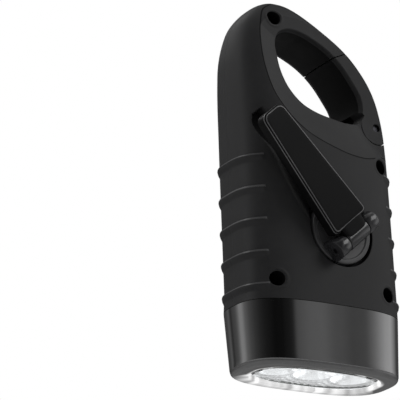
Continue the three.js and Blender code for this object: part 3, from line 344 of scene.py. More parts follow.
def superellipse(half_x: float, half_y: float, power: float, count: int) -> Array:
    """Closed ring |x/a|^n + |y/b|^n = 1, with steps that stay even where it is nearly straight.

    Args:
        half_x: Half width.
        half_y: Half depth.
        power: The exponent n.
        count: Points in the ring.

    Returns:
        Points in X and Y.
    """
    turn = full_turn(count * 8)
    c, s = np.cos(turn), np.sin(turn)
    ring = np.stack(
        [half_x * np.sign(c) * np.abs(c) ** (2 / power), half_y * np.sign(s) * np.abs(s) ** (2 / power)], 1
    )
    return respaced(ring, count, closed=True)


def lathe(profile: Array, count: int, finish: int = 0) -> Skin:
    """A profile of radius and height carried round the Y axis.

    Args:
        profile: Radius and height pairs.
        count: Steps round the axis.
        finish: Finish number.

    Returns:
        The skin; a rising profile faces outwards.
    """
    turn = full_turn(count)
    radius, rise = profile[:, 0][:, None], profile[:, 1][:, None]
    points = np.stack(
        [radius * np.cos(turn), np.broadcast_to(rise, (len(profile), count)), radius * np.sin(turn)], -1
    )
    return Skin.grid(points, finish, wrap=True, flip=True)


def rounded(corners: list[tuple[float, float, float]], steps: int = 5) -> Array:
    """A profile through corners, each cut by an arc-like quadratic of its own size.

    Args:
        corners: Radius, height and rounding of each corner.
        steps: Points on each rounding.

    Returns:
        Points of the profile.
    """
    spots = np.array(corners, float)
    out = [spots[0, :2]]
    for before, spot, after in zip(spots[:-2], spots[1:-1], spots[2:]):
        size = spot[2]
        if size <= 0:
            out.append(spot[:2])
            continue
        ways = [end[:2] - spot[:2] for end in (before, after)]
        a, b = (spot[:2] + way / (np.linalg.norm(way) + 1e-9) * size for way in ways)
        out.extend(arcs([(a, spot[:2], b)], steps))
    out.append(spots[-1, :2])
    return np.array(out)


def shrunk(ring: Array) -> Array:
    """A ring's middle, as many times as it has points."""
    return np.repeat(ring.mean(0)[None], len(ring), 0)


def stacked(rings: list[Array], finish: int = 0, closed_ends: bool = True) -> Skin:
    """A skin through rings of equal counts, closed by a fan at each end.

    Args:
        rings: Rings of points, one after the other.
        finish: Finish number.
        closed_ends: Whether the first and last ring are closed.

    Returns:
        The skin.
    """
    rows = [shrunk(rings[0]), *rings, shrunk(rings[-1])] if closed_ends else rings
    return Skin.grid(np.stack(rows), finish, wrap=True)


def outward(skin: Skin) -> Skin:
    """The same closed skin with its faces turned so that it holds a positive volume."""
    a, b, c = (skin.points[skin.faces[:, i]] for i in range(3))
    volume = np.einsum("ij,ij->i", a, np.cross(b, c)).sum()
    return skin if volume > 0 else skin.flipped()


@dataclass
class Form:
    """The flashlight's outer form, in millimetres, with Y from the middle of the body."""

    height: float = 130.0
    width: float = 60.6
    depth: float = 31.1
    roundness: float = 2.95
    bezel_height: float = 21.0
    shoulder_share: float = 0.5846
    loop_thickness: float = 19.0
    taper_start: float = 0.35
    taper_power: float = 3.0
    spine: tuple = (
        (0.98, -0.9), (0.97, -0.3), (0.965, 0.1), (0.965, 0.3), (0.96, 0.45), (0.945, 0.58), (0.9, 0.7),
        (0.83, 0.805), (0.76, 0.865), (0.64, 0.935), (0.5, 0.98), (0.345, 1),
    )
    gate_side: tuple = (
        (-1, -0.9), (-0.995, -0.1), (-0.99, 0.08), (-0.98, 0.2), (-0.955, 0.31), (-0.91, 0.42),
        (-0.84, 0.515), (-0.745, 0.6), (-0.62, 0.685), (-0.47, 0.757), (-0.3, 0.822), (-0.14, 0.88),
        (0, 0.928), (0.14, 0.97), (0.24, 0.992), (0.345, 1),
    )
    opening: tuple = (
        (-0.6, 0.33), (-0.585, 0.415), (-0.49, 0.505), (-0.36, 0.6), (-0.2, 0.677), (0, 0.735),
        (0.15, 0.763), (0.3, 0.767), (0.41, 0.737), (0.458, 0.67), (0.448, 0.585), (0.41, 0.485),
        (0.325, 0.395), (0.18, 0.32), (0, 0.278), (-0.2, 0.255), (-0.4, 0.24), (-0.54, 0.255),
    )
    crease: tuple = (
        (-1.5, 0.03), (-0.98, 0.03), (-0.82, 0.018), (-0.72, 0.0), (-0.518, -0.031), (-0.29, -0.027),
        (-0.068, 0.004), (0.1, 0.036), (0.258, 0.079), (0.42, 0.155), (0.544, 0.247), (0.606, 0.311),
        (0.659, 0.409), (0.694, 0.528), (0.698, 0.651), (0.671, 0.772), (0.584, 0.903), (0.42, 0.98), (0.2, 1.2),
    )
    loop_hub: tuple = (-0.04, 0.5)
    recess_share: float = 0.5
    slope_blend: float = 0.04
    opening_round: float = 1.3
    lip_power: float = 2.3
    edge_samples: int = 40
    loop_samples: int = 24
    opening_points: int = 360
    rib_count: int = 5
    # Lowest and highest rib as shares of the trunk
    rib_shares: tuple = (0.082, 0.882)
    rib_height: float = 0.9
    rib_width: float = 3.0
    rib_reach: float = 6.3
    rib_fade: float = 0.8
    rib_power: int = 6
    rib_lift: float = 0.4
    rib_shown: float = 0.4
    # Part of the profile in the painted highlight finish, and the profile as place and height
    rib_painted_highlight: tuple = (0.3, 0.8)
    rib_profile: tuple = ((-1.0, 0.0), (-0.6, 0.35), (-0.2, 0.75), (0.35, 1.0), (0.6, 0.92), (0.78, 0.3), (0.9, 0.0))

    def __post_init__(self) -> None:
        """Works out the curves from the shares."""
        self.half_width = self.width / 2
        self.half_depth = self.depth / 2
        self.shoulder = self.height * self.shoulder_share
        self.rise = self.height - self.shoulder
        self.trunk = self.shoulder - self.bezel_height
        self.spine_curve = catmull(self.on_head(self.spine), self.edge_samples)
        self.gate_curve = catmull(self.on_head(self.gate_side), self.edge_samples)
        ring = catmull(self.on_head(self.opening), self.loop_samples, closed=True)
        self.opening_curve = respaced(ring, self.opening_points, closed=True)
        self.crease_curve = catmull(self.on_head(self.crease), self.loop_samples)
        self.hub = self.on_head([self.loop_hub])[0]
        self.ribs = np.linspace(*(self.on_trunk(share) for share in self.rib_shares), self.rib_count)

    def on_head(self, shares: tuple | list) -> Array:
        """Places from shares of half the width and of the head's rise."""
        return np.array(shares, float) * [self.half_width, self.rise] + [0, self.shoulder]

    def on_trunk(self, share: float) -> float:
        """Height from a share of the way between the bezel and the shoulder."""
        return self.bezel_height + self.trunk * share

    def section(self, z: Array) -> tuple[Array, Array, Array]:
        """Half width, half depth and centre of the level section at each height.

        Args:
            z: Heights.

        Returns:
            Half widths, half depths and centres.
        """
        lowest = self.spine_curve[0, 1]
        blend = np.clip((z - self.bezel_height) / (lowest - self.bezel_height), 0, 1)
        right, left = (
            np.where(
                z > lowest,
                np.interp(z, curve[:, 1], curve[:, 0]),
                edge + blend * (curve[0, 0] - edge),
            )
            for curve, edge in ((self.spine_curve, self.half_width), (self.gate_curve, -self.half_width))
        )
        start = self.height * self.taper_start
        rise = np.clip((z - start) / (self.height - start), 0, 1)
        return (right - left) / 2, self.half_depth * bulge(rise, self.taper_power), (right + left) / 2

    def thick(self, x: Array, z: Array) -> Array:
        """Height of the unopened body over the middle plane, b (1 - |x/a|^n)^(1/n)."""
        half_x, half_y, centre = self.section(z)
        return half_y * bulge(np.abs(x - centre) / np.maximum(half_x, 1e-6), self.roundness)

    def loop_level(self, x: Array, z: Array) -> Array:
        """Height of the loop's face and of the slope that rises from it to the crease.

        At the share s of the way from the hub to the crease, the height is the face plus the climb times
        k ln(1 + e^((s - 1 + r) / k)), with r the slope's share and k its softness.

        Args:
            x: Places across.
            z: Places up.

        Returns:
            Heights over the middle plane.
        """
        offset_x, offset_z = x - self.hub[0], z - self.hub[1]
        angle = np.arctan2(offset_z, offset_x)
        rim = self.crease_curve - self.hub
        rim_angle = np.unwrap(np.arctan2(rim[:, 1], rim[:, 0]))
        rim_reach = np.linalg.norm(rim, axis=1)
        low, high = rim_angle[0], rim_angle[-1]
        wrapped = low + np.mod(angle - low, 2 * np.pi)
        reach = np.interp(wrapped, rim_angle, rim_reach)
        reach = np.where(wrapped > high, rim_reach.max() * 2, reach)
        share = np.hypot(offset_x, offset_z) / reach
        face = self.loop_thickness / 2
        rim_climb = np.maximum(self.thick(self.crease_curve[:, 0], self.crease_curve[:, 1]) - face, 0)
        climb = np.interp(wrapped, rim_angle, rim_climb) / self.recess_share
        soft = self.slope_blend
        return face + np.logaddexp(0, (share - 1 + self.recess_share) / soft) * soft * climb

    def surface(self, x: Array, z: Array) -> Array:
        """Height of the finished body and loop over the middle plane."""
        return np.minimum(self.thick(x, z), self.loop_level(x, z))

    def opening_distance(self, x: Array, z: Array) -> Array:
        """Distance out of the loop's opening, negative in it."""
        near = (z > self.shoulder) & (np.abs(x) < self.half_width)
        value = np.full(x.shape, self.width)
        value[near] = distance_inside(x[near], z[near], self.opening_curve)
        return value

    def finished(self, x: Array, z: Array) -> Array:
        """Height with the opening's rounded lip; 0 in the opening and outside the outline."""
        gap = self.opening_distance(x, z)
        share = np.clip(gap / self.opening_round, 0, 1)
        return self.surface(x, z) * bulge(1 - share, self.lip_power)


@dataclass
class Gate:
    """The snap gate's seams, pivot and slot."""

    form: Form
    pivot: tuple = (-0.81, 0.232)
    seam: tuple = ((-0.41, 0.683), (-0.035, 0.585))
    notch_floor: tuple = ((-0.5, 0.26), (-0.3, 0.4))
    radius: float = 5.9
    fit: float = 0.35
    notch_angle: float = 40.0
    arc_steps: int = 60
    tongue_thickness: float = 6.0
    tongue_radius: float = 5.0
    tongue_neck: float = 0.66
    tongue_root: float = 2.0
    tongue_gap: float = 0.3
    slot_margin: float = 1.0
    pin_seat: float = 0.4
    pin_radius: float = 1.2
    pin_fit: float = 0.15

    def __post_init__(self) -> None:
        """Places the pivot and the seam."""
        self.x, self.z = self.form.on_head([self.pivot])[0]
        self.outer, self.inner = self.form.on_head(self.seam)

    def zone(self, grow: float) -> Array:
        """Outline of the gate's share of the loop.

        Args:
            grow: How far the outline is pushed out.

        Returns:
            Corners in X and Z, from the outer edge under the pivot to the free end.
        """
        far, radius = self.form.width, self.radius + grow
        end = 0.0 if grow > 0 else self.notch_angle
        arc = [self.x, self.z] + circle(radius, np.radians(np.linspace(180, 360 + end, self.arc_steps)))
        if grow > 0:
            step = self.form.on_head(self.notch_floor)
        else:
            step = [self.x, self.z] + circle(2 * self.radius, np.radians([end]))
        slope = (self.outer - self.inner) / np.linalg.norm(self.outer - self.inner)
        lift = np.array([slope[1], -slope[0]]) * grow
        reach = self.form.rise / 2
        free = np.array([self.inner - slope * 3 + lift, self.outer + slope * reach + lift])
        return np.vstack([[[self.x - far, self.z]], arc, step, free, [[self.x - far, self.form.height]]])


@dataclass
class Trim:
    """Round cuts in the casing: the hub recess and the case screws."""

    form: Form
    hub_share: tuple = (-0.1155, 0.469)
    hub_radius: float = 11.2
    hub_gap: float = 1.1
    low_screw_shares: tuple = (0.7, -0.72)
    low_screw_rise: float = 6.9
    high_screws: tuple = ((-0.756, -0.054), (0.48, 0.845))
    counterbore: float = 2.5
    screw_seat: float = 3.4

    def __post_init__(self) -> None:
        """Places the hub and the screws."""
        form = self.form
        self.hub = (self.hub_share[0] * form.half_width, form.on_trunk(self.hub_share[1]))
        low = [(s * form.half_width, form.bezel_height + self.low_screw_rise) for s in self.low_screw_shares]
        self.screws = np.array([*low, *form.on_head(self.high_screws)])


def moved(x: float, y: float, z: float) -> Array:
    """A 4 by 4 matrix that moves by a distance on each axis."""
    return np.array(Matrix.Translation((x, y, z)))


def turned(angle: float, axis: str) -> Array:
    """A 4 by 4 matrix that turns by an angle in degrees about an axis."""
    return np.array(Matrix.Rotation(math.radians(angle), 4, axis))


def cross_recess(radius: float, crown: float, depth: float, arm: float, reach: float) -> Skin:
    """A screw head about Y: a crown less a cross-shaped hollow.

    The height at radius r and angle t is crown (1 - (r/R)^2.4) less depth where the place lies within half
    an arm's width of either axis and inside the reach.

    Args:
        radius: Head radius.
        crown: Rise of the crown.
        depth: Depth of the cross.
        arm: Width of an arm of the cross.
        reach: Half length of an arm.

    Returns:
        The head's top and a short skirt, with its rim at height 0.
    """
    wall, root, skirt_drop, crown_power = 0.08, 0.72, 1.6, 2.4
    share = np.linspace(0, 1, 34)[:, None]
    turn = full_turn(96)[None, :]
    x, z = radius * share * np.cos(turn), radius * share * np.sin(turn)
    near = np.minimum(np.abs(x), np.abs(z))
    far = np.maximum(np.abs(x), np.abs(z))
    hollow = smooth_step(arm / 2 + wall, arm / 2 - wall, near) * smooth_step(reach, reach * root, far)
    y = crown * (1 - share**crown_power) - depth * hollow
    skirt = np.stack([x[-1], np.full_like(x[-1], -crown * skirt_drop), z[-1]], -1)[None]
    return Skin.grid(np.vstack([np.stack([x, y, z], -1), skirt]), wrap=True, flip=True)


@dataclass
class Head:
    """Bezel, lens, reflector and LEDs."""

    form: Form
    nose_width: float = 58.6
    nose_depth: float = 29.2
    bevel: float = 1.55
    lip: float = 2.6
    lens_width: float = 46.0
    lens_depth: float = 20.8
    lens_roundness: float = 2.6
    around: int = 288
    lens_setback: float = 0.6
    rim_gap: float = 0.6
    socket: float = 5.0
    lens_back: float = 4.4
    flange: float = 1.1
    flange_seat: float = 3.6
    reflector_front: float = 5.1
    reflector_back: float = 14.2
    cup_pitch: float = 14.4
    mouth: float = 6.9
    throat: float = 2.7
    flutes: int = 30
    flute_depth: float = 0.15
    rings: int = 4
    ring_depth: float = 0.28
    plate_reach: float = 0.9
    plate_rise: float = 2.5
    plate_flute: float = 0.1
    led_radius: float = 2.1
    led_tip: float = 10.75

    def outer(self, z: float, inset: float) -> Array:
        """Ring of the bezel's outside at a height, drawn in by a distance."""
        rise = min(max((z - self.bevel) / (self.form.bezel_height - self.bevel), 0), 1)
        half_x = (self.nose_width + rise * (self.form.width - self.nose_width)) / 2 - inset
        half_y = (self.nose_depth + rise * (self.form.depth - self.nose_depth)) / 2 - inset
        return level_ring(superellipse(half_x, half_y, self.form.roundness, self.around), z)

    def lens_ring(self, z: float, out: float) -> Array:
        """Ring of the lens opening at a height, pushed out by a distance."""
        half_x, half_y = (side / 2 + out for side in (self.lens_width, self.lens_depth))
        return level_ring(superellipse(half_x, half_y, self.lens_roundness, self.around), z)

    def bezel(self) -> Skin:
        """The bezel: a tapered side, a rounded nose, a flat rim and the wall down to the lens.

        Returns:
            The closed skin; finish 0 is the polished side and finish 1 the satin rim with its painted glow.
        """
        top, bevel, soft, out = self.form.bezel_height, self.bevel, SOFT_EDGE, self.rim_gap
        ease, fit, seat, wall = 0.1, 0.3, 1.4, 2.1
        floor = top - self.socket
        side = [self.outer(z, 0.0) for z in np.linspace(top, bevel + 0.28, 16)]
        side += [self.outer(bevel + 0.12, 0.03), self.outer(bevel, ease)]
        nose = [self.outer(bevel, ease)]
        nose += [
            self.outer(bevel * (1 - math.sin(t)), ease + (bevel - ease) * (1 - math.cos(t)))
            for t in np.linspace(0, np.pi / 2, 9)
        ]
        rim = ((0.0, out + soft), (soft * 0.3, out + soft * 0.3), (soft, out), (self.lip, fit))
        nose += [self.lens_ring(*level) for level in rim]
        inside = [self.lens_ring(*level) for level in ((self.lip, fit), (self.lip, seat), (floor, seat))]
        inside += [self.outer(*level) for level in ((floor, wall), (top, wall), (top, 0.0))]
        polished, *satin = (stacked(rings, number, False) for rings, number in ((side, 0), (nose, 1), (inside, 1)))
        return outward(polished.joined(*satin))

    def lens(self) -> Skin:
        """The clear lens: a low dome with a rounded edge in front and a flange behind."""
        front, seat = self.lens_setback, self.flange_seat
        face = [(front, -inset) for inset in (9.5, 7.5, 5.5, 3.5, 2.0)]
        edge = [(front + rise, -inset) for rise, inset in ((0.08, 1.2), (0.3, 0.55), (0.7, 0.12), (1.1, 0.0))]
        flange = [(seat, 0.0), (seat, self.flange), (self.lens_back, self.flange)]
        return outward(stacked([self.lens_ring(*level) for level in face + edge + flange]))

    def cup(self, x: float) -> Skin:
        """One bowl of the reflector: a paraboloid with fine rings and shallow flutes round its axis.

        Args:
            x: The bowl's place across.

        Returns:
            The bowl.
        """
        share = np.linspace(0, 1, 60)[:, None]
        turn = full_turn(180)[None, :]
        radius = self.throat + (self.mouth - self.throat) * share
        depth = self.reflector_back - self.reflector_front
        ripple = self.flute_depth * np.cos(self.flutes * turn) * np.sin(np.pi * share)
        rings = self.ring_depth * np.sin(2 * np.pi * self.rings * share) * (1 - share) * share
        z = self.reflector_front + depth * (1 - share**2) + ripple + rings
        points = np.stack([x + radius * np.cos(turn), radius * np.sin(turn), z], -1)
        return Skin.grid(points, wrap=True, flip=True)

    def reflector(self) -> Skin:
        """Three bowls in a fluted plate that ends under the lens flange.

        Returns:
            The plate and its bowls.
        """
        half_x, half_y = (side / 2 + self.plate_reach for side in (self.lens_width, self.lens_depth))
        x, y = np.meshgrid(np.linspace(-half_x, half_x, 330), np.linspace(-half_y, half_y, 150))
        centres = np.array([-self.cup_pitch, 0, self.cup_pitch])
        nearest = centres[np.argmin(np.abs(x[..., None] - centres), -1)]
        reach = np.hypot(x - nearest, y)
        angle = np.arctan2(y, x - nearest)
        lift = smooth_step(self.mouth, self.mouth + self.plate_rise, reach)
        z = self.reflector_front - self.plate_flute * lift * (1 + np.cos(self.flutes * angle))
        plate = Skin.grid(np.stack([x, y, z], -1), flip=True)
        plate = plate.kept(lambda p: 1 - (np.abs(p[:, :2] / [half_x, half_y]) ** self.lens_roundness).sum(1))
        plate = plate.kept(lambda p: np.hypot(np.min(np.abs(p[:, :1] - centres), 1), p[:, 1]) - self.mouth)
        return plate.joined(*(self.cup(c) for c in centres))

    def led(self, x: float) -> Skin:
        """A domed LED: a straight barrel under a half ball, with its base in the board."""
        turn = np.linspace(0, np.pi / 2, 16)
        tip = np.stack([self.led_radius * np.sin(turn), self.led_radius * (1 - np.cos(turn)) + self.led_tip], 1)
        base = self.reflector_back
        profile = np.vstack([tip, [[self.led_radius, base], [0.0, base + 0.05]]])
        return outward(lathe(profile, 48).placed(moved(x, 0, 0) @ np.eye(4)[[0, 2, 1, 3]]))


@dataclass
class SolarPanel:
    """The arched frame round the solar cell."""

    form: Form
    # Width of the casing's, then bottom, shoulder and top as shares of the trunk
    shares: tuple = (0.627, 0.1127, 0.887, 0.967)
    margin: float = 6.8
    sill: float = 4.2
    head: float = 3.8
    corner: float = 3.0
    proud: float = 0.8
    seat: float = 2.9
    setback: float = 1.9
    bevel: float = 0.6
    window_bevel: float = 1.6
    ledge: float = 1.9

    def __post_init__(self) -> None:
        """Works out the frame's and the cell's edges."""
        form = self.form
        self.width = form.width * self.shares[0]
        self.bottom, self.shoulder, self.top = (form.on_trunk(share) for share in self.shares[1:])
        self.front = -form.half_depth - self.proud
        self.back = self.front + self.proud + self.seat - 0.7
        self.cell = (self.width / 2 - self.margin, self.bottom + self.sill, self.shoulder - self.head)

    def outline(self, inset: float) -> Array:
        """Closed outline in X and Z: straight sides, round corners and an arched top, from corner to corner.

        Args:
            inset: How far the outline is drawn in.

        Returns:
            Points, starting at the low corner on the -X side.
        """
        half_x, low = self.width / 2 - inset, self.bottom + inset
        corner = max(self.corner - inset, 0.3)
        shoulder = self.shoulder - self.corner
        top = self.top - inset
        bend = shoulder + corner + (self.top - self.shoulder) / 4
        pieces = [
            ((-half_x, low + corner), (-half_x, low), (-half_x + corner, low)),
            ((half_x - corner, low), (half_x, low), (half_x, low + corner)),
            ((half_x, shoulder), (half_x, shoulder + corner), (half_x - corner, bend)),
            ((half_x - corner, bend), (half_x / 2, top), (0, top)),
            ((0, top), (-half_x / 2, top), (-half_x + corner, bend)),
            ((-half_x + corner, bend), (-half_x, shoulder + corner), (-half_x, shoulder)),
        ]
        return arcs(pieces, 24)

    def window(self, out: float, corner: float) -> Array:
        """Closed outline of the window, with round corners.

        Args:
            out: How far the outline is pushed out.
            corner: Size of the corners' rounding.

        Returns:
            Points in X and Z.
        """
        half_x, low, high = self.cell[0] + out, self.cell[1] - out, self.cell[2] + out
        corners = ((-half_x, low, 1, 1), (half_x, low, -1, 1), (half_x, high, -1, -1), (-half_x, high, 1, -1))
        pieces = []
        for x, z, way, up in corners:
            start, end = ((x, z + up * corner), (x + way * corner, z))[:: way * up]
            pieces.append((start, (x, z), end))
        return arcs(pieces, 12)

    def quartered(self, ring: Array, y: float) -> Array:
        """A ring respaced between the points that face its four corners, at a depth.

        Args:
            ring: Closed outline in X and Z.
            y: The ring's Y.

        Returns:
            Points in space, the same number on each quarter.
        """
        line = respaced(ring, 720, closed=True)
        middle_z = (self.cell[1] + self.cell[2]) / 2
        angle = np.arctan2(line[:, 1] - middle_z, line[:, 0])
        reach = math.atan2(self.cell[2] - middle_z, self.cell[0])
        corners = np.array([-math.pi + reach, -reach, reach, math.pi - reach])[:, None]
        starts = np.abs(np.angle(np.exp(1j * (angle - corners)))).argmin(1)
        out = []
        for start, end in zip(starts, np.roll(starts, -1)):
            span = (end - start) % len(line)
            out.append(respaced(line[np.arange(start, start + span + 1) % len(line)], 61)[:-1])
        return put_at(np.vstack(out), y)

    def frame(self) -> Skin:
        """The frame: rounded outer edge, flat face, step down to the ledge, chamfer and window wall.

        Returns:
            The closed skin.
        """
        front, bevel, back = self.front, self.bevel, self.back
        ledge, wide = self.window_bevel + self.ledge, self.window_bevel
        cell_front = front + self.setback - 0.25
        outside = [(1.6, back), (0, back), (0, front + bevel * 1.4)]
        outside += [
            (bevel * (1 - math.cos(t)), front + bevel * (1 - math.sin(t))) for t in np.linspace(0, np.pi / 2, 6)
        ]
        inside = [
            (ledge + 0.25, 1.4, front), (ledge, 1.3, front + 0.1), (ledge - 0.35, 1.2, front + 0.55),
            (wide + 0.2, 1.0, front + 0.6), (wide, 1.0, front + 0.7), (0.15, 1.6, cell_front - 0.12),
            (0, 1.6, cell_front), (0, 1.6, cell_front + 0.2), (0.9, 1.6, back),
        ]
        rings = [self.quartered(self.outline(inset), y) for inset, y in outside]
        rings += [self.quartered(self.window(out, corner), y) for out, corner, y in inside]
        return outward(stacked([*rings, rings[0]], closed_ends=False))


@dataclass
class Crank:
    """The folding crank, drawn about the hub's axis with the arm along +Z, then turned and tilted."""

    form: Form
    trim: Trim
    angle: float = 41.0
    tilt: float = 1.0
    hub_radius: float = 11.2
    hub_thickness: float = 2.4
    hub_proud: float = -0.35
    hub_dish: float = 0.3
    barrel_radius: float = 3.3
    barrel_length: float = 20.2
    barrel_offset: float = 3.0
    knuckle: float = 10.0
    lug_root: float = 0.2
    lug_round: float = 0.45
    lug_spread: float = 1.12
    gap: float = 0.3
    pin_radius: float = 1.1
    arm_length: float = 49.0
    root_width: float = 16.4
    tip_width: float = 10.6
    arm_depth: float = 4.2
    arm_skin: float = 1.5
    arm_rim: float = 1.5
    arm_neck: float = 4.0
    arm_corner: float = 3.4
    arm_round: float = 0.8
    knob_radius: float = 3.2
    knob_from_tip: float = 5.3
    knob_sweep: float = 0.35
    knob_boss: float = 0.6
    grooves: int = 5
    groove_depth: float = 0.14

    def __post_init__(self) -> None:
        """Works out the levels and the two placements."""
        self.face = self.form.half_depth + self.hub_proud
        self.floor = self.face - self.hub_thickness
        self.barrel_y = self.face + self.barrel_radius + self.gap
        self.arm_under = self.barrel_radius - self.arm_skin
        self.knob_along = self.arm_length - self.knob_from_tip
        lean = math.radians(self.tilt)
        rise = self.form.half_depth + self.knob_sweep + (self.knob_radius - self.knob_along) * math.sin(lean)
        self.knob_tip = (rise - self.barrel_y) / math.cos(lean)
        self.knob_top = self.arm_under - self.knob_boss - self.gap
        hub_x, hub_z = self.trim.hub
        self.turning = moved(hub_x, 0, hub_z) @ turned(self.angle, "Y")
        self.folding = self.turning @ moved(0, self.barrel_y, -self.barrel_offset) @ turned(-self.tilt, "X")

    def across(self, profile: Array, count: int = 64, finish: int = 0) -> Skin:
        """A profile of radius and place carried round the X axis."""
        return outward(lathe(profile, count, finish).placed(np.eye(4)[[1, 0, 2, 3]]))

    def ear(self, inner: float, outer: float) -> Skin:
        """A lug of the hub: a round top on a straight foot, pushed along X with softened edges.

        Args:
            inner: Where the lug starts along X.
            outer: Where it ends.

        Returns:
            The closed skin.
        """
        radius, low, soft = self.barrel_radius, self.face - self.lug_root, self.lug_round
        foot = radius * self.lug_spread
        arc = circle(radius, np.radians(np.linspace(0, 180, 40))) + [0, self.barrel_y]
        outline = respaced(np.vstack([arc, [[-foot, low], [foot, low]]]), 120, closed=True)
        middle = outline.mean(0)
        away = outline - middle
        steps = [(inner, soft), (inner + soft * 0.3, soft * 0.3), (inner + soft, 0)]
        steps += [(outer - soft, 0), (outer - soft * 0.3, soft * 0.3), (outer, soft)]
        rings = []
        for x, inset in steps:
            ring = middle + away * (1 - inset / np.linalg.norm(away, axis=1)[:, None])
            rings.append(np.stack([np.full(len(ring), x), ring[:, 1], ring[:, 0] - self.barrel_offset], 1))
        return outward(stacked(rings))

    def hub(self) -> Skin:
        """The hub disc with its rim, and the two lugs of the hinge.

        Returns:
            The skin; finish 0 is the lugs and finish 1 the disc.
        """
        radius, face, dish = self.hub_radius, self.face, self.face - self.hub_dish
        corners = [
            (0, self.floor, 0), (radius, self.floor, 0.2), (radius, face, 0.5), (radius - 1.5, face, 0.25),
            (radius - 1.8, dish, 0.2), (0, dish, 0),
        ]
        disc = lathe(rounded(corners, 7), 128, 1)
        start, end = self.knuckle / 2 + self.gap, self.barrel_length / 2
        right, left = self.ear(start, end), self.ear(-end, -start)
        bush = lathe(rounded([(2.4, face - 0.32, 0), (2.4, face - 0.05, 0.15), (0, face - 0.05, 0)], 4), 48, 1)
        return outward(disc).joined(bush, right, left).placed(self.turning)

    def pin_ends(self) -> Skin:
        """The hinge pin's domed ends in the lugs."""
        reach = self.barrel_length / 2 + 0.02
        corners = [(0, -reach, 0), (self.pin_radius, -reach, 0.35), (self.pin_radius, reach, 0.35), (0, reach, 0)]
        pin = self.across(rounded(corners, 6), 48)
        return pin.placed(self.turning @ moved(0, self.barrel_y, -self.barrel_offset))

    def outline(self, inset: float) -> Array:
        """The arm's outline in X and Z: a neck, straight tapering sides and a round-cornered tip.

        Args:
            inset: How far the outline is drawn in.

        Returns:
            Closed ring of points.
        """
        root, tip = self.root_width / 2 - inset, self.tip_width / 2 - inset
        corner = max(self.arm_corner - inset, 0.3)
        start, end = self.arm_neck + inset, self.arm_length - inset
        pieces = [
            ((root - corner / 2, start), (root, start), (root, start + corner / 2)),
            ((tip, end - corner), (tip, end), (tip - corner, end)),
            ((-tip + corner, end), (-tip, end), (-tip, end - corner)),
            ((-root, start + corner / 2), (-root, start), (-root + corner / 2, start)),
        ]
        return arcs(pieces, 16)

    def ring(self, inset: float, y: float) -> Array:
        """The arm's outline drawn in, at a height."""
        return put_at(self.outline(inset), y)

    def arm(self) -> Skin:
        """The arm: a channel with a rounded top edge, its neck and knuckle, and the knob's boss.

        Returns:
            The skin; finish 0 is the arm, finish 1 the knuckle and finish 2 the painted highlight lines along the
            edges.
        """
        top, low, rim, under = self.barrel_radius, self.barrel_radius - self.arm_depth, self.arm_rim, self.arm_under
        edge, half = self.arm_round, self.knuckle / 2
        levels = [(rim / 2, low), (0.25, low), (0.05, low + 0.08), (0, low + 0.3)]
        levels += [(edge * (1 - math.cos(t)), top - edge + edge * math.sin(t)) for t in np.linspace(0, np.pi / 2, 8)]
        levels += [(edge + 1.2, top), (edge + 3.0, top)]
        rings = [self.ring(*level) for level in levels]
        # Finish 2 paints two light lines on the rounded top edge as a highlight
        bands = ((0, 4, 0), (4, 6, 2), (6, 9, 0), (9, 11, 2), (11, len(rings) - 1, 0))
        outside = [stacked(rings[start : end + 1], number, False) for start, end, number in bands]
        cap = stacked([rings[-1], shrunk(rings[-1])], closed_ends=False)
        levels = [(rim / 2, low), (rim - 0.2, low), (rim, low + 0.2), (rim + 0.1, under - 0.3), (rim + 0.4, under)]
        inner = [self.ring(*level) for level in levels]
        hollow = stacked([*inner, shrunk(inner[-1])], closed_ends=False).flipped()
        channel = outward(outside[0].joined(*outside[1:], cap, hollow))
        corners = [(0, -half, 0), (top, -half, 0.45), (top, half, 0.45), (0, half, 0)]
        barrel = self.across(rounded(corners, 8), 80, 1)
        block = superellipse(half - 0.15, self.arm_skin / 2 + 0.35, 6.0, 96) + [0, top - self.arm_skin / 2 - 0.38]
        neck = [level_ring(block * [grow, 1], z) for z, grow in ((0.0, 1.0), (self.arm_neck + 1.4, 1.08))]
        root, end = under + 0.1, under - self.knob_boss
        boss = lathe(rounded([(1.25, root, 0), (1.25, end, 0.1), (2.1, end, 0.15), (2.4, root, 0)], 4), 48)
        boss = boss.placed(moved(0, 0, self.knob_along))
        return channel.joined(barrel, outward(stacked(neck)), boss).placed(self.folding)

    def knob(self) -> Skin:
        """The knob: a short round grip with shallow grooves and a hollow for its screw.

        Returns:
            The closed skin.
        """
        radius, tip, top = self.knob_radius, self.knob_tip, self.knob_top
        share = np.linspace(0, 1, 60)
        soft, bore, well, floor = 0.6, 1.25, 2.25, tip + 1.5
        y = tip + soft + (top - tip - 2 * soft) * share
        groove = self.groove_depth * (0.5 - 0.5 * np.cos(2 * np.pi * self.grooves * share))
        grip = np.stack([radius - groove, y], 1)
        corners = [(bore, floor, 0), (well, floor, 0.1), (well, tip, 0.15), (radius, tip, soft), (radius, tip + 0.7, 0)]
        low = rounded(corners, 6)
        high = rounded([(radius, top - 0.7, 0), (radius, top, soft), (bore, top, 0.1), (bore, floor, 0)], 6)
        profile = np.vstack([low[:-1], grip, high[1:]])
        return outward(lathe(profile, 72)).placed(self.folding @ moved(0, 0, self.knob_along))

    def knob_screw(self) -> Skin:
        """The screw head in the knob's end."""
        head = cross_recess(radius=2.1, crown=0.35, depth=0.6, arm=0.7, reach=1.4).placed(turned(180, "X"))
        return head.placed(self.folding @ moved(0, self.knob_tip + 0.75, self.knob_along))


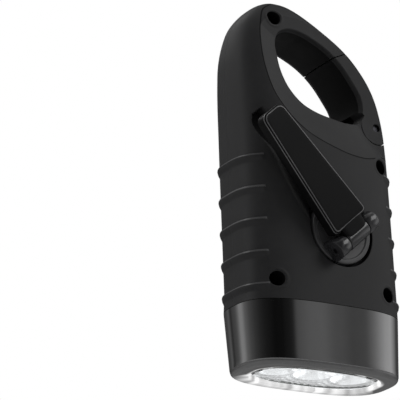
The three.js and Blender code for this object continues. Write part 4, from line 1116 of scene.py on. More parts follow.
@dataclass
class Button:
    """The rubber power button in the -X side."""

    form: Form
    share: float = 0.577
    length: float = 10.0
    width: float = 6.6
    proud: float = 0.9
    flange: float = 2.6
    fit: float = 0.3

    def __post_init__(self) -> None:
        """Places the button on the casing's side."""
        self.z = self.form.on_trunk(self.share)
        half_x, _, centre = self.form.section(np.array(self.z))
        self.x = float(centre - half_x)

    def outline(self, grow: float) -> Array:
        """Stadium in Y and Z, grown by a distance."""
        straight, radius = (self.length - self.width) / 2, self.width / 2 + grow
        arc = circle(radius, np.radians(np.linspace(-90, 90, 40))) + [straight, 0]
        return respaced(np.vstack([arc, -arc]), 160, closed=True)

    def distance(self, points: Array, grow: float) -> Array:
        """Distance out of the button's hole, counted only on the casing's side."""
        straight = (self.length - self.width) / 2
        along = np.maximum(np.abs(points[:, 1]) - straight, 0)
        value = np.hypot(along, points[:, 2] - self.z) - self.width / 2 - grow
        return np.where(points[:, 0] < self.form.half_width * -0.6, value, self.form.width)

    def skin_x(self, y: Array, z: Array) -> Array:
        """X of the casing's -X side, c - a (1 - |y/b|^n)^(1/n)."""
        half_x, half_y, centre = self.form.section(z)
        return centre - half_x * bulge(np.abs(y / half_y), self.form.roundness)

    def ring(self, grow: float, x: Array | float) -> Array:
        """The stadium at a place along X."""
        flat = self.outline(grow)
        return np.stack([np.broadcast_to(x, len(flat)), flat[:, 0], flat[:, 1] + self.z], 1)

    def cap(self) -> Skin:
        """The button: a crowned face with a rounded edge and a shallow ring pressed into it."""
        out = self.x - self.proud
        levels = [(0.0, 2.6), (0.0, 0.75), (-0.1, 0.36), (-0.32, 0.12), (-0.7, 0.02), (-1.1, 0.0), (-1.25, 0.02),
                  (-1.4, 0.14), (-1.6, 0.14), (-1.75, 0.02), (-1.95, 0.0), (-2.6, 0.0)]
        return outward(stacked([self.ring(grow, out + rise) for grow, rise in levels]))

    def wall(self) -> Skin:
        """The hole's wall in the casing, from its softened rim inwards."""
        fit, rows = self.fit, []
        for grow, drop in ((fit + SOFT_EDGE, 0.0), (fit + 0.1, 0.06), (fit, 0.3), (fit, 2.4)):
            y, z = self.outline(grow).T
            rows.append(self.ring(grow, self.skin_x(y, z + self.z) + drop))
        return stacked(rows, closed_ends=False)


@dataclass
class Casing:
    """The two shells and the gate, cut from one smooth skin."""

    form: Form
    gate: Gate
    trim: Trim
    solar: SolarPanel
    button: Button
    crank: Crank
    rows: tuple = (150, 200)
    edge_steps: int = 26
    middle_steps: int = 60
    pocket: tuple = (
        (47.8, -2.6), (46.8, -2.0), (46.1, -1.0), (42.7, 0.6), (38.7, 1.4), (34.0, 3.0), (27.9, 5.4), (21.0, 7.4),
        (14.8, 8.5), (8.9, 9.3), (3.0, 12.0), (-12.0, 12.0), (-12.0, -30.0), (47.8, -30.0),
    )
    pocket_right: tuple = (-6.8, -5.8)
    pocket_left: float = 12.5
    # Along the arm, where the rim turns from soft to crisp, and its width and depth at both
    pocket_crisp: tuple = (32.0, 41.0)
    pocket_soft: tuple = (7.5, 0.9)
    pocket_depth: tuple = (4.0, 3.2)
    edge_share: float = 0.13
    base_lift: float = 0.2
    base_width: float = 2.4
    base_points: int = 220
    row_gap: float = 0.12
    # Round a screw hole: rise, distance from the hole and spread
    collar: tuple = (0.12, 0.6, 0.4)
    # Depth and spread of the groove between the shells
    seam_groove: tuple = (0.05, 0.3)
    painted_shade_share: float = 0.42
    # Half width and rise of the painted shade line along the crease
    crease_line: tuple = (0.2, 0.03)
    crease_points: int = 700
    least_height: float = 3.0
    wall_step: float = 0.25
    wall_least: float = 0.02
    hub_clear: float = 0.3
    seat_fit: float = 0.3
    seat_round: float = 0.3
    seat_past: float = 0.2
    seat_points: int = 420

    def __post_init__(self) -> None:
        """Draws the pocket's outline."""
        soft = catmull(np.array(self.pocket[:11]), 8)
        self.pocket_curve = np.vstack([soft, self.pocket[11:]])

    def columns(self) -> Array:
        """Places across from -1 to 1, crowded towards both sides by the form's own power."""
        edge = self.edge_share
        side = edge * (np.arange(self.edge_steps) / self.edge_steps) ** self.form.roundness
        half = np.concatenate([side, np.linspace(edge, 1, self.middle_steps + 1)])
        return np.concatenate([half - 1, (1 - half[:-1])[::-1]])

    def heights(self) -> Array:
        """Heights of the rows: even on the trunk, and crowded as a sine to the top."""
        form = self.form
        low = np.linspace(form.bezel_height + self.base_lift, form.shoulder, self.rows[0], endpoint=False)
        ribs = form.ribs[:, None] + np.array(form.rib_profile)[:, 0] * form.rib_width / 2
        turn = np.linspace(0, np.pi / 2, self.rows[1])
        low = low[np.abs(low[:, None] - ribs.ravel()).min(1) > self.row_gap]
        return np.concatenate([np.sort(np.concatenate([low, ribs.ravel()])), form.shoulder + form.rise * np.sin(turn)])

    def scoop(self, x: Array, z: Array) -> Array:
        """Depth of the stowed crank's pocket, soft along the arm and crisp round its tip.

        Args:
            x: Places across.
            z: Places up.

        Returns:
            The depths, 0 out of the pocket.
        """
        angle = math.radians(self.crank.angle)
        away_x, away_z = x - self.trim.hub[0], z - self.trim.hub[1]
        along = away_x * math.sin(angle) + away_z * math.cos(angle)
        aside = away_x * math.cos(angle) - away_z * math.sin(angle)
        near = (along > 0) & (along < self.crank.arm_length)
        near &= (aside > self.pocket_right[0]) & (aside < self.pocket_left)
        gap = np.zeros(x.shape)
        gap[near] = distance_inside(along[near], aside[near], self.pocket_curve)
        tip = smooth_step(*self.pocket_crisp, along)
        soft, depth = (start + (end - start) * tip for start, end in (self.pocket_soft, self.pocket_depth))
        return depth * smooth_step(*self.pocket_right, aside) * smooth_step(0.0, 1.0, -gap / soft)

    def carved(self, height: Array, x: Array, z: Array, side: Side) -> Array:
        """Heights of the skin less the pocket, which only the back has."""
        return height - self.scoop(x, z) if side is Side.BACK else height

    def half(self, side: Side) -> Skin:
        """One half of the skin, before anything is cut out of it.

        Args:
            side: Front or back.

        Returns:
            The skin, whose Y has the sign of the side.
        """
        form = self.form
        z = self.heights()[:, None]
        across = self.columns()[None, :]
        half_x, _, centre = form.section(z)
        x = centre + half_x * across
        z = np.broadcast_to(z, x.shape)
        body, loop = form.thick(x, z), form.loop_level(x, z)
        above = loop - body
        cuts = np.zeros_like(x)
        if side is Side.BACK:
            cuts = self.scoop(x, z)
            rise, away, spread = self.collar
            for spot in self.trim.screws:
                reach = np.hypot(x - spot[0], z - spot[1]) - self.trim.counterbore
                cuts = cuts - rise * np.exp(-(((reach - away) / spread) ** 2)) * (body > self.least_height)
        profile = np.array(form.rib_profile)
        bump = np.zeros_like(x)
        for rib in form.ribs:
            bump += np.interp((z - rib) / (form.rib_width / 2), profile[:, 0], profile[:, 1], 0, 0)
        taper = smooth_step(form.rib_reach, form.rib_reach - form.rib_fade, half_x * (1 - np.abs(across)))
        bump = bump * taper * form.rib_height
        x = x + bump * np.sign(across) * np.abs(across) ** form.rib_power
        deep, wide = self.seam_groove
        halves = []
        for level, gap in ((body, above), (loop, -above)):
            y = np.maximum(level - cuts, 0.0) + bump * form.rib_lift * np.clip(level / 2, 0, 1)
            inset = deep * np.exp(-((y / wide) ** 2)) * (np.abs(across) > 0.5)
            skin = Skin.grid(np.stack([x - np.sign(across) * inset, y * side.value, z], -1), flip=side is Side.BACK)
            # Finish 2 paints a light line along each rib's upper flank as a highlight
            rise = (skin.middles()[:, 2][:, None] - form.ribs) / (form.rib_width / 2)
            edge = ((rise > form.rib_painted_highlight[0]) & (rise < form.rib_painted_highlight[1])).any(1)
            edge &= taper.ravel()[skin.faces].mean(1) > form.rib_shown
            skin.finish = np.where(edge, 2, 0)
            skin = skin.kept(lambda p, g=gap: g.ravel())
            halves.append(skin.kept(lambda p: form.opening_distance(p[:, 0], p[:, 2]) - form.opening_round))
        return halves[0].joined(halves[1], self.lip(side), self.crease_shade_line(side))

    def crease_shade_line(self, side: Side) -> Skin:
        """The painted shade line that follows the crease between the body and the loop.

        Args:
            side: Front or back.

        Returns:
            A thin strip on the skin, as finish 1.
        """
        line = respaced(self.form.crease_curve, self.crease_points)
        along = np.gradient(line, axis=0)
        out = np.stack([-along[:, 1], along[:, 0]], 1) / np.linalg.norm(along, axis=1)[:, None]
        half, proud = self.crease_line
        rows = line + out * np.array([-half, 0.0, half])[:, None, None]
        x, z = rows[..., 0], rows[..., 1]
        y = self.carved(self.form.surface(x, z) + proud, x, z, side)
        strip = Skin.grid(np.stack([x, y * side.value, z], -1), 1, flip=side is Side.FRONT)
        return strip.kept(lambda p: np.abs(p[:, 1]) - self.least_height)

    def lip(self, side: Side) -> Skin:
        """The opening's rounded edge, a superelliptic quarter carried round its outline.

        Args:
            side: Front or back.

        Returns:
            The skin of one half of the lip.
        """
        form = self.form
        line = form.opening_curve
        along = np.roll(line, -1, 0) - np.roll(line, 1, 0)
        along /= np.linalg.norm(along, axis=1)[:, None]
        out = np.stack([along[:, 1], -along[:, 0]], 1)
        if distance_inside(*(line + out * 0.5)[:1].T, line)[0] < 0:
            out = -out
        turn = np.linspace(0, np.pi / 2, 16)[:, None]
        reach = form.opening_round * (1 - np.cos(turn) ** (2 / form.lip_power))
        climb = np.sin(turn) ** (2 / form.lip_power)
        x = line[:, 0] + out[:, 0] * reach
        z = line[:, 1] + out[:, 1] * reach
        y = form.surface(x, z) * climb
        skin = Skin.grid(np.stack([x, y * side.value, z], -1), wrap=True)
        middle = skin.middles()
        # Finish 1 paints the inner wall dark, as painted shade deep in the opening
        skin.finish = (np.abs(middle[:, 1]) < form.loop_thickness * self.painted_shade_share).astype(int)
        return skin.facing([form.hub[0], 0, form.hub[1]] - middle * [1, 0, 1] + [0, side.value * 4, 0])

    def curtain(self, line: Array, low: float, facing: tuple[float, float], side: Side) -> Skin:
        """A wall under the skin along a line in X and Z, from a distance off the middle plane outwards.

        Args:
            line: The line's points.
            low: Where the wall starts off the middle plane.
            facing: A direction in X and Z that the wall faces.
            side: Front or back.

        Returns:
            The wall, only where the line runs in the material.
        """
        length = np.linalg.norm(np.diff(line, axis=0), axis=1).sum()
        line = respaced(line, max(8, int(length / self.wall_step)))
        top = self.form.finished(line[:, 0], line[:, 1])
        keep = top > low + self.wall_least
        share = np.linspace(0, 1, 12)[:, None]
        y = low + share * (np.maximum(top, low) - low)
        points = np.stack(
            [np.broadcast_to(line[:, 0], y.shape), y * side.value, np.broadcast_to(line[:, 1], y.shape)], -1
        )
        skin = Skin.grid(points)
        whole = keep[np.mod(skin.faces, len(line))].all(1)
        skin = Skin(skin.points, skin.faces[whole], skin.finish[whole]).packed()
        return skin.facing(np.array([facing[0], 0, facing[1]]))

    def gate_walls(self, zone: Array, low: float, way: int, side: Side) -> list[Skin]:
        """Walls along the gate's two seams.

        Args:
            zone: Outline of the gate's share of the loop.
            low: Where the wall round the pivot starts off the middle plane.
            way: 1 to face the gate, -1 to face away from it.
            side: Front or back.

        Returns:
            The wall round the pivot and the one at the free end.
        """
        seams = ((zone[: self.gate.arc_steps + 2], low, (0, way)), (zone[-3:-1], 0.0, (-way, -way)))
        return [self.curtain(line, start, facing, side) for line, start, facing in seams]

    def ring_wall(self, centre: tuple, radius: float, floor: float, side: Side) -> Skin:
        """A round cut's wall with a softened rim, and its floor.

        Args:
            centre: Axis in X and Z.
            radius: Radius of the cut.
            floor: Distance of the floor off the middle plane.
            side: Front or back.

        Returns:
            The wall and floor.
        """
        turn, soft, rows = full_turn(72), SOFT_EDGE, []
        for reach, drop in ((radius + soft, 0.0), (radius + soft * 0.4, soft * 0.12), (radius, soft * 0.6)):
            flat = circle(reach, turn) + centre
            x, z = flat.T
            top = self.carved(self.form.finished(x, z), x, z, side)
            rows.append(put_at(flat, (top - drop) * side.value))
        rows.append(put_at(flat, floor * side.value))
        rows.append(shrunk(rows[-1]))
        # The wall below the rim and the floor take finish 1, painted shade in the hole
        rim, well = (
            Skin.grid(np.stack(part), number, wrap=True, flip=side is Side.FRONT)
            for number, part in enumerate((rows[:3], rows[2:]))
        )
        return rim.joined(well)

    def shell(self, side: Side) -> Skin:
        """One shell, with its openings cut and walled.

        Args:
            side: Front or back.

        Returns:
            The shell's skin.
        """
        trim, button = self.trim, self.button
        zone = self.gate.zone(self.gate.fit)
        skin = self.half(side).kept(lambda p: self.zone_distance(p, zone))
        parts = self.gate_walls(zone, 0.0, 1, side)
        if side is Side.BACK:
            cuts = [(trim.hub, trim.hub_radius + trim.hub_gap, self.crank.floor - self.hub_clear)]
            cuts += [(tuple(spot), trim.counterbore, trim.screw_seat) for spot in trim.screws]
            for centre, radius, floor in cuts:
                skin = skin.drilled(centre, radius + SOFT_EDGE)
                parts.append(self.ring_wall(centre, radius, floor, side))
        else:
            skin, walls = self.solar_recess(skin)
            parts.append(walls)
        skin = skin.kept(lambda p: button.distance(p, button.fit + SOFT_EDGE))
        parts.append(button.wall().kept(lambda p: p[:, 1] * side.value))
        return skin.joined(*parts, self.base(side), self.tongue(side))

    def solar_recess(self, skin: Skin) -> tuple[Skin, Skin]:
        """Cuts the solar frame's seat out of the front and gives the seat's wall.

        Args:
            skin: The front half.

        Returns:
            The cut half, and the wall from its rim down past the frame's back.
        """
        solar, fit, soft, margin = self.solar, self.seat_fit, self.seat_round, 2.0
        middle, half = (solar.top + solar.bottom) / 2, (solar.top - solar.bottom) / 2
        line = respaced(solar.outline(0), self.seat_points, closed=True)

        def away(p: Array) -> Array:
            """Distance out of the frame's outline, worked out only near it."""
            value = np.full(len(p), self.form.width)
            close = (np.abs(p[:, 0]) < solar.width / 2 + margin) & (np.abs(p[:, 2] - middle) < half + margin)
            value[close] = distance_inside(p[close, 0], p[close, 2], line)
            return value

        rows = []
        for out, drop in ((fit + soft, 0.0), (fit + soft * 0.3, soft * 0.2), (fit, soft)):
            flat = respaced(solar.outline(-out), self.seat_points, closed=True)
            rows.append(put_at(flat, drop - self.form.surface(*flat.T)))
        rows.append(put_at(flat, np.maximum(solar.back + self.seat_past, -self.form.surface(*flat.T))))
        wall = stacked(rows, closed_ends=False)
        wall = wall.facing((np.array([0, 0, middle]) - wall.middles()) * [1, 0, 1])
        return skin.kept(lambda p: away(p) - fit - soft), wall

    def zone_distance(self, points: Array, zone: Array) -> Array:
        """Distance out of the gate's zone, worked out only near the gate."""
        near = points[:, 2] > self.gate.z - self.gate.radius * 2
        value = np.full(len(points), self.form.width)
        value[near] = distance_inside(points[near, 0], points[near, 2], zone)
        return value

    def base(self, side: Side) -> Skin:
        """The shell's level lower edge, a ring from its outline inwards."""
        form, rows = self.form, []
        for inset in (0.0, self.base_width):
            ring = superellipse(form.half_width - inset, form.half_depth - inset, form.roundness, self.base_points)
            ring = ring[: self.base_points // 2 + 1]
            rows.append(level_ring(ring * [1, side.value], form.bezel_height + self.base_lift))
        return Skin.grid(np.stack(rows), flip=side is Side.FRONT)

    def tongue(self, side: Side) -> Skin:
        """Half of the lug that carries the gate: a disc on a short neck, with softened edges.

        Args:
            side: Front or back.

        Returns:
            The half lug.
        """
        gate, radius, half = self.gate, self.gate.tongue_radius, self.gate.tongue_thickness / 2
        foot, drop = radius * gate.tongue_neck, gate.radius + gate.tongue_root
        disc = circle(radius, np.radians(np.linspace(-50, 230, 60)))
        outline = respaced(np.vstack([disc, [[-foot, -drop], [foot, -drop]]]), 120, closed=True)
        levels = ((0, 0.02), (0, half - 0.5), (0.15, half - 0.15), (0.5, half))
        rings = [
            put_at(outline * (1 - inset / radius) + [gate.x, gate.z], y * side.value) for inset, y in levels
        ]
        return outward(stacked(rings))

    def gate_skin(self) -> Skin:
        """The gate: both halves of the skin in its zone, its end walls and the slot for the lug.

        Returns:
            The gate's skin.
        """
        gate = self.gate
        zone, centre = gate.zone(0), (gate.x, gate.z)
        slot, hole = gate.tongue_thickness / 2 + gate.tongue_gap, gate.pin_radius + gate.pin_fit
        reach = gate.radius + gate.slot_margin
        parts = []
        for side in Side:
            skin = self.half(side).kept(lambda p: -self.zone_distance(p, zone)).drilled(centre, hole + SOFT_EDGE)
            cheek = skin.kept(lambda p: reach - from_axis(p, centre)).kept(lambda p: np.abs(p[:, 1]) - slot)
            cheek.points[:, 1] = slot * side.value
            parts.append(self.ring_wall(centre, hole, slot + gate.pin_seat, side))
            parts.append(skin.kept(lambda p: np.maximum(from_axis(p, centre) - reach, np.abs(p[:, 1]) - slot)))
            parts += [cheek.flipped(), *self.gate_walls(zone, slot, -1, side)]
        return parts[0].joined(*parts[1:])


class Nodes:
    """A node tree while it is put together."""

    def __init__(self, tree: NodeTree, space: str = "Object") -> None:
        """Takes up a tree, with coordinates of a kind as its place."""
        self.tree = tree
        self.place = self.add("ShaderNodeTexCoord").outputs[space]

    def add(self, kind: str, values: dict[str | int, object] | None = None, **settings: object) -> Node:
        """A new node.

        Args:
            kind: The node's type.
            values: A constant or a socket for each input's name or number.
            **settings: Values of the node's own properties.

        Returns:
            The node.
        """
        node = self.tree.nodes.new(kind)
        for name, value in settings.items():
            setattr(node, name, value)
        for name, value in (values or {}).items():
            if isinstance(value, Socket):
                self.tree.links.new(value, node.inputs[name])
            else:
                node.inputs[name].default_value = value
        return node

    def math(self, operation: str, *terms: Socket | float, clamp: bool = False) -> Socket:
        """The result of a Math node on sockets or numbers."""
        return self.add("ShaderNodeMath", dict(enumerate(terms)), operation=operation, use_clamp=clamp).outputs[0]

    def product(self, first: Socket | float, *others: Socket | float) -> Socket:
        """The product of sockets or numbers."""
        for term in others:
            first = self.math("MULTIPLY", first, term)
        return first

    def less(self, first: Socket | float, second: Socket | float, clamp: bool = False) -> Socket:
        """The first less the second."""
        return self.math("SUBTRACT", first, second, clamp=clamp)

    def mix(self, share: Socket | float, first: Socket | float, second: Socket | float) -> Socket:
        """A mix of two numbers."""
        return self.add("ShaderNodeMix", {0: share, **dict(zip(MIX_FLOATS, (first, second)))}).outputs[0]

    def blend(self, share: Socket | float, first: Colour | Socket, second: Colour | Socket) -> Socket:
        """A mix of two colours."""
        colours = [(*c, 1.0) if isinstance(c, tuple) else c for c in (first, second)]
        node = self.add("ShaderNodeMix", {0: share, **dict(zip(MIX_COLOURS, colours))}, data_type="RGBA")
        return node.outputs[MIX_COLOUR_OUT]

    def spread(self, value: Socket, low: float, high: float, start: float = 0.0, end: float = 1.0) -> Socket:
        """A value's range carried onto another range, held at its ends."""
        values = {"Value": value, "From Min": start, "From Max": end, "To Min": low, "To Max": high}
        return self.add("ShaderNodeMapRange", values).outputs["Result"]

    def noise(self, scale: Socket | float, detail: float, place: Socket | None = None) -> Socket:
        """Noise at a scale, over the tree's own place unless another is given."""
        values = {"Vector": place or self.place, "Scale": scale, "Detail": detail}
        return self.add("ShaderNodeTexNoise", values).outputs["Fac"]

    def split(self) -> tuple[Socket, Socket, Socket]:
        """X, Y and Z of the place."""
        return tuple(self.add("ShaderNodeSeparateXYZ", {0: self.place}).outputs)


class Group(Nodes):
    """A node group with float sockets while it is put together."""

    def __init__(self, name: str, inputs: dict[str, float], outputs: tuple[str, ...]) -> None:
        """Starts a group.

        Args:
            name: The group's name.
            inputs: Each input and its default.
            outputs: The outputs' names.
        """
        tree = bpy.data.node_groups.new(name, "ShaderNodeTree")
        for label, value in inputs.items():
            socket = tree.interface.new_socket(label, in_out="INPUT", socket_type="NodeSocketFloat")
            socket.default_value = value
        for label in outputs:
            tree.interface.new_socket(label, in_out="OUTPUT", socket_type="NodeSocketFloat")
        super().__init__(tree)
        self.given = self.add("NodeGroupInput").outputs

    def ended(self, values: dict[str, Socket]) -> NodeTree:
        """Links the group's outputs and gives its tree."""
        self.add("NodeGroupOutput", values)
        return self.tree


class Look(Nodes):
    """A material while it is put together."""

    def __init__(self, name: str) -> None:
        """Starts an empty material."""
        self.material = bpy.data.materials.new(name)
        self.material.use_nodes = True
        self.material.node_tree.nodes.clear()
        super().__init__(self.material.node_tree)

    def group(self, tree: NodeTree, **values: float) -> bpy.types.bpy_prop_collection:
        """The outputs of a shared node group with its own values."""
        return self.add("ShaderNodeGroup", values, node_tree=tree).outputs

    def relief(self, height: Socket, strength: float, distance: float = 0.00004) -> Socket:
        """A normal bent by a height, whose distance is in metres."""
        values = {"Height": height, "Strength": strength, "Distance": distance}
        return self.add("ShaderNodeBump", values).outputs["Normal"]

    def dressed(self, values: dict[str, object]) -> Material:
        """The material with a Principled shader on it that has these values."""
        shader = self.add("ShaderNodeBsdfPrincipled", values)
        self.add("ShaderNodeOutputMaterial", {"Surface": shader.outputs["BSDF"]})
        return self.material


class Effects:
    """Node groups that more than one finish uses."""

    def __init__(self) -> None:
        """Builds the groups once."""
        self.grain = self.make_grain()
        self.handling = self.make_handling()
        self.brushing = self.make_brushing()
        self.rays = self.make_rays()

    @staticmethod
    def make_grain() -> NodeTree:
        """Moulded grain: small pits at one scale over a softer swell at a tenth of it."""
        group = Group("moulded_grain", {"Scale": 2600.0, "Swell": 0.35}, ("Height",))
        scale = group.given["Scale"]
        pits = group.add("ShaderNodeTexVoronoi", {"Vector": group.place, "Scale": scale}, feature="SMOOTH_F1")
        swell = group.noise(group.product(scale, 0.1), 2.0)
        return group.ended({"Height": group.mix(group.given["Swell"], pits.outputs["Distance"], swell)})

    @staticmethod
    def make_handling() -> NodeTree:
        """Marks of handling: broad soft patches broken up by finer noise."""
        group = Group("handling_marks", {"Scale": 45.0, "Fine": 0.3}, ("Mask",))
        scale = group.given["Scale"]
        broad, fine = group.noise(scale, 3.0), group.noise(group.product(scale, 9.0), 5.0)
        both = group.mix(group.given["Fine"], broad, fine)
        return group.ended({"Mask": group.spread(both, 0.0, 1.0, 0.36, 0.64)})

    @staticmethod
    def make_rays() -> NodeTree:
        """Light round the nearest LED: its rings and its rays, from 0 to 1.

        The rings are the sine of the distance over their pitch; the rays are noise over the direction.

        Returns:
            The group's tree.
        """
        group = Group("lamp_rays", {"Pitch": 0.0144, "Ring": 0.0014}, ("Rings", "Rays"))
        math_of, pitch = group.math, group.given["Pitch"]
        x, y, _ = group.split()
        cell = math_of("ROUND", math_of("DIVIDE", x, pitch))
        cell = math_of("MAXIMUM", math_of("MINIMUM", cell, 1.0), -1.0)
        across, aside = group.less(x, group.product(cell, pitch)), group.less(y, SHIFT * MILLIMETRE)
        reach = math_of("SQRT", math_of("ADD", math_of("POWER", across, 2.0), math_of("POWER", aside, 2.0)))
        wave = math_of("SINE", group.product(math_of("DIVIDE", reach, group.given["Ring"]), 2 * math.pi))
        way = {0: math_of("DIVIDE", across, reach), 1: math_of("DIVIDE", aside, reach), 2: cell}
        rays = group.noise(3.4, 0.5, group.add("ShaderNodeCombineXYZ", way).outputs[0])
        return group.ended(
            {"Rings": math_of("MULTIPLY_ADD", wave, 0.5, 0.5), "Rays": group.spread(rays, 0.0, 1.0, 0.28, 0.72)}
        )

    @staticmethod
    def make_brushing() -> NodeTree:
        """Fine lines along X: noise squeezed across the other two axes."""
        group = Group("brushed_lines", {"Scale": 900.0}, ("Height",))
        squeeze = group.add("ShaderNodeMapping", {"Vector": group.place, "Scale": (0.04, 1.0, 1.0)})
        return group.ended({"Height": group.noise(group.given["Scale"], 4.0, squeeze.outputs["Vector"])})


@dataclass(frozen=True)
class Finish:
    """A finish with a name; each kind gives the values of its shader."""

    name: str

    def build(self, effects: Effects) -> Material:
        """The material."""
        look = Look(self.name)
        return look.dressed(self.values(look, effects))

    def values(self, look: Look, effects: Effects) -> dict[str, object]:
        """The shader's values.

        Args:
            look: The material while it is put together.
            effects: The shared node groups.

        Returns:
            A constant or a socket by the name of each input.
        """
        raise NotImplementedError


@dataclass(frozen=True)
class Moulded(Finish):
    """A moulded plastic or rubber: two close tones, a grain, and a polish that varies with handling."""

    tone: Colour
    worn: Colour
    rough: tuple[float, float] = (0.5, 0.6)
    grain: float = 2600.0
    relief: float = 0.25
    metal: float = 0.0
    specular: float = 0.5
    coat: float = 0.0
    coat_rough: float = 0.05

    def values(self, look: Look, effects: Effects) -> dict[str, object]:
        """The shader's values by their sockets' names."""
        marks = look.group(effects.handling, Scale=45.0, Fine=0.3)["Mask"]
        grain = look.group(effects.grain, Scale=self.grain, Swell=0.35)["Height"]
        return {
            "Base Color": look.blend(marks, self.tone, self.worn),
            "Roughness": look.spread(marks, *self.rough),
            "Metallic": self.metal,
            "Specular IOR Level": self.specular,
            "Coat Weight": self.coat,
            "Coat Roughness": self.coat_rough,
            "Normal": look.relief(grain, self.relief),
        }


@dataclass(frozen=True)
class PocketShaded(Moulded):
    """Moulded plastic with painted shade that darkens into the stowed crank's pocket; lengths are in metres."""

    hub: tuple[float, float] = (0.0, 0.0)
    angle: float = 0.0
    edge: tuple[float, float] = (0.0122, -0.28)
    reach: float = 0.0065
    end: tuple[float, float] = (0.0477, 0.0475)
    start: tuple[float, float] = (-0.004, 0.008)
    right: tuple[float, float] = (-0.0068, -0.0058)
    fall: float = 0.8
    # Tone of the painted shade, deepest in the pocket
    deep: Colour = (0.002, 0.002, 0.0021)
    shade_specular: float = 0.02

    def values(self, look: Look, effects: Effects) -> dict[str, object]:
        """The shader's values by their sockets' names."""
        values = super().values(look, effects)
        x, _, z = look.split()
        sine, cosine = math.sin(self.angle), math.cos(self.angle)
        away_x, away_z = look.less(x, self.hub[0]), look.less(z, self.hub[1])
        along = look.math("ADD", look.product(away_x, sine), look.product(away_z, cosine))
        aside = look.less(look.product(away_x, cosine), look.product(away_z, sine))
        rim = look.math("MULTIPLY_ADD", along, self.edge[1], self.edge[0])
        bounds = (
            (look.less(rim, aside), (0.0, self.reach)), (along, self.end), (along, self.start), (aside, self.right)
        )
        inside = look.product(*(look.spread(value, 0.0, 1.0, *span) for value, span in bounds))
        # Painted shade: base colour and specular level fall towards the dark tone inside the pocket
        shade = look.math("POWER", inside, self.fall)
        return values | {
            "Base Color": look.blend(shade, values["Base Color"], self.deep),
            "Specular IOR Level": look.spread(shade, self.specular, self.shade_specular),
        }


@dataclass(frozen=True)
class Metal(Finish):
    """A metal with fine lines and slightly uneven polish."""

    tone: Colour
    dull: Colour
    rough: tuple[float, float] = (0.2, 0.35)
    lines: float = 0.08

    def values(self, look: Look, effects: Effects) -> dict[str, object]:
        """The shader's values by their sockets' names."""
        marks = look.group(effects.handling, Scale=160.0, Fine=0.5)["Mask"]
        lines = look.group(effects.brushing, Scale=2200.0)["Height"]
        return {
            "Base Color": look.blend(marks, self.tone, self.dull),
            "Metallic": 1.0,
            "Roughness": look.spread(marks, *self.rough),
            "Normal": look.relief(lines, self.lines, 0.00003),
        }


@dataclass(frozen=True)
class ClearPlastic(Finish):
    """The lens: clear plastic with faint handling marks."""

    def values(self, look: Look, effects: Effects) -> dict[str, object]:
        """The shader's values by their sockets' names."""
        marks = look.group(effects.handling, Scale=90.0, Fine=0.4)["Mask"]
        return {
            "Base Color": look.blend(marks, (0.97, 0.98, 0.99), (0.93, 0.95, 0.96)),
            "Roughness": look.spread(marks, 0.0, 0.05),
            "IOR": 1.49,
            "Transmission Weight": 1.0,
        }


@dataclass(frozen=True)
class LampDome(Finish):
    """An LED's milky dome, lit."""

    glow: float = 2.5

    def values(self, look: Look, effects: Effects) -> dict[str, object]:
        """The shader's values by their sockets' names."""
        marks = look.group(effects.handling, Scale=500.0, Fine=0.5)["Mask"]
        tone = look.blend(marks, (0.95, 0.96, 1.0), (0.85, 0.9, 1.0))
        rough = look.spread(marks, 0.12, 0.25)
        return {"Base Color": tone, "Roughness": rough, "Emission Color": tone, "Emission Strength": self.glow}


@dataclass(frozen=True)
class LitBowls(Finish):
    """The reflector: bright metal with painted light from the LEDs as emission, in rings and rays round each."""

    pitch: float

    def values(self, look: Look, effects: Effects) -> dict[str, object]:
        """The shader's values by their sockets' names."""
        light = look.group(effects.rays, Pitch=self.pitch, Ring=0.0021)
        wash = look.math("MULTIPLY_ADD", look.math("POWER", light["Rings"], 0.6), 0.34, 0.42)
        # Painted light: the emission stands in for the LEDs' light on the bowls
        return {
            "Base Color": look.blend(light["Rings"], (0.7, 0.71, 0.72), (0.8, 0.81, 0.82)),
            "Metallic": 1.0,
            "Roughness": 0.12,
            "Emission Color": WHITE,
            "Emission Strength": look.product(wash, look.spread(light["Rays"], 0.85, 1.15)),
        }


@dataclass(frozen=True)
class LitRim(Finish):
    """The satin rim with painted light from the lamp, as emission from the lens opening outwards, most on the front's
    side.
    """

    half: tuple[float, float]
    power: float
    pitch: float
    flat: tuple[float, float] = (0.00015, 0.0008)
    wall: tuple[float, float] = (1.0, 1.03)

    def values(self, look: Look, effects: Effects) -> dict[str, object]:
        """The shader's values by their sockets' names.

        The glow falls as 1 - (|x/a|^n + |y/b|^n - 1) / reach, on the flat face and the opening's wall only.
        """
        x, y, z = look.split()
        aside = look.less(y, SHIFT * MILLIMETRE)
        shares = [look.math("DIVIDE", look.math("ABSOLUTE", way), half) for way, half in zip((x, aside), self.half)]
        level = look.math("ADD", *(look.math("POWER", share, self.power) for share in shares))
        reach = look.spread(aside, 0.16, 1.3, -0.25 * self.half[1], -self.half[1])
        fall = look.less(1.0, look.math("DIVIDE", look.less(level, 1.0), reach), clamp=True)
        face, wall = look.spread(z, 1.0, 0.0, *self.flat), look.spread(level, 1.0, 0.0, *self.wall)
        rays = look.spread(look.group(effects.rays, Pitch=self.pitch)["Rays"], 0.3, 1.05)
        marks = look.group(effects.handling, Scale=60.0, Fine=0.3)["Mask"]
        grain = look.group(effects.grain, Scale=2400.0, Swell=0.35)["Height"]
        # Painted light: the emission stands in for the lamp's light on the rim
        return {
            "Base Color": look.blend(marks, (0.18, 0.18, 0.182), (0.22, 0.22, 0.222)),
            "Metallic": 0.8,
            "Roughness": look.spread(marks, 0.25, 0.32),
            "Normal": look.relief(grain, 0.15),
            "Emission Color": WHITE,
            "Emission Strength": look.product(fall, look.math("MAXIMUM", face, wall), rays),
        }


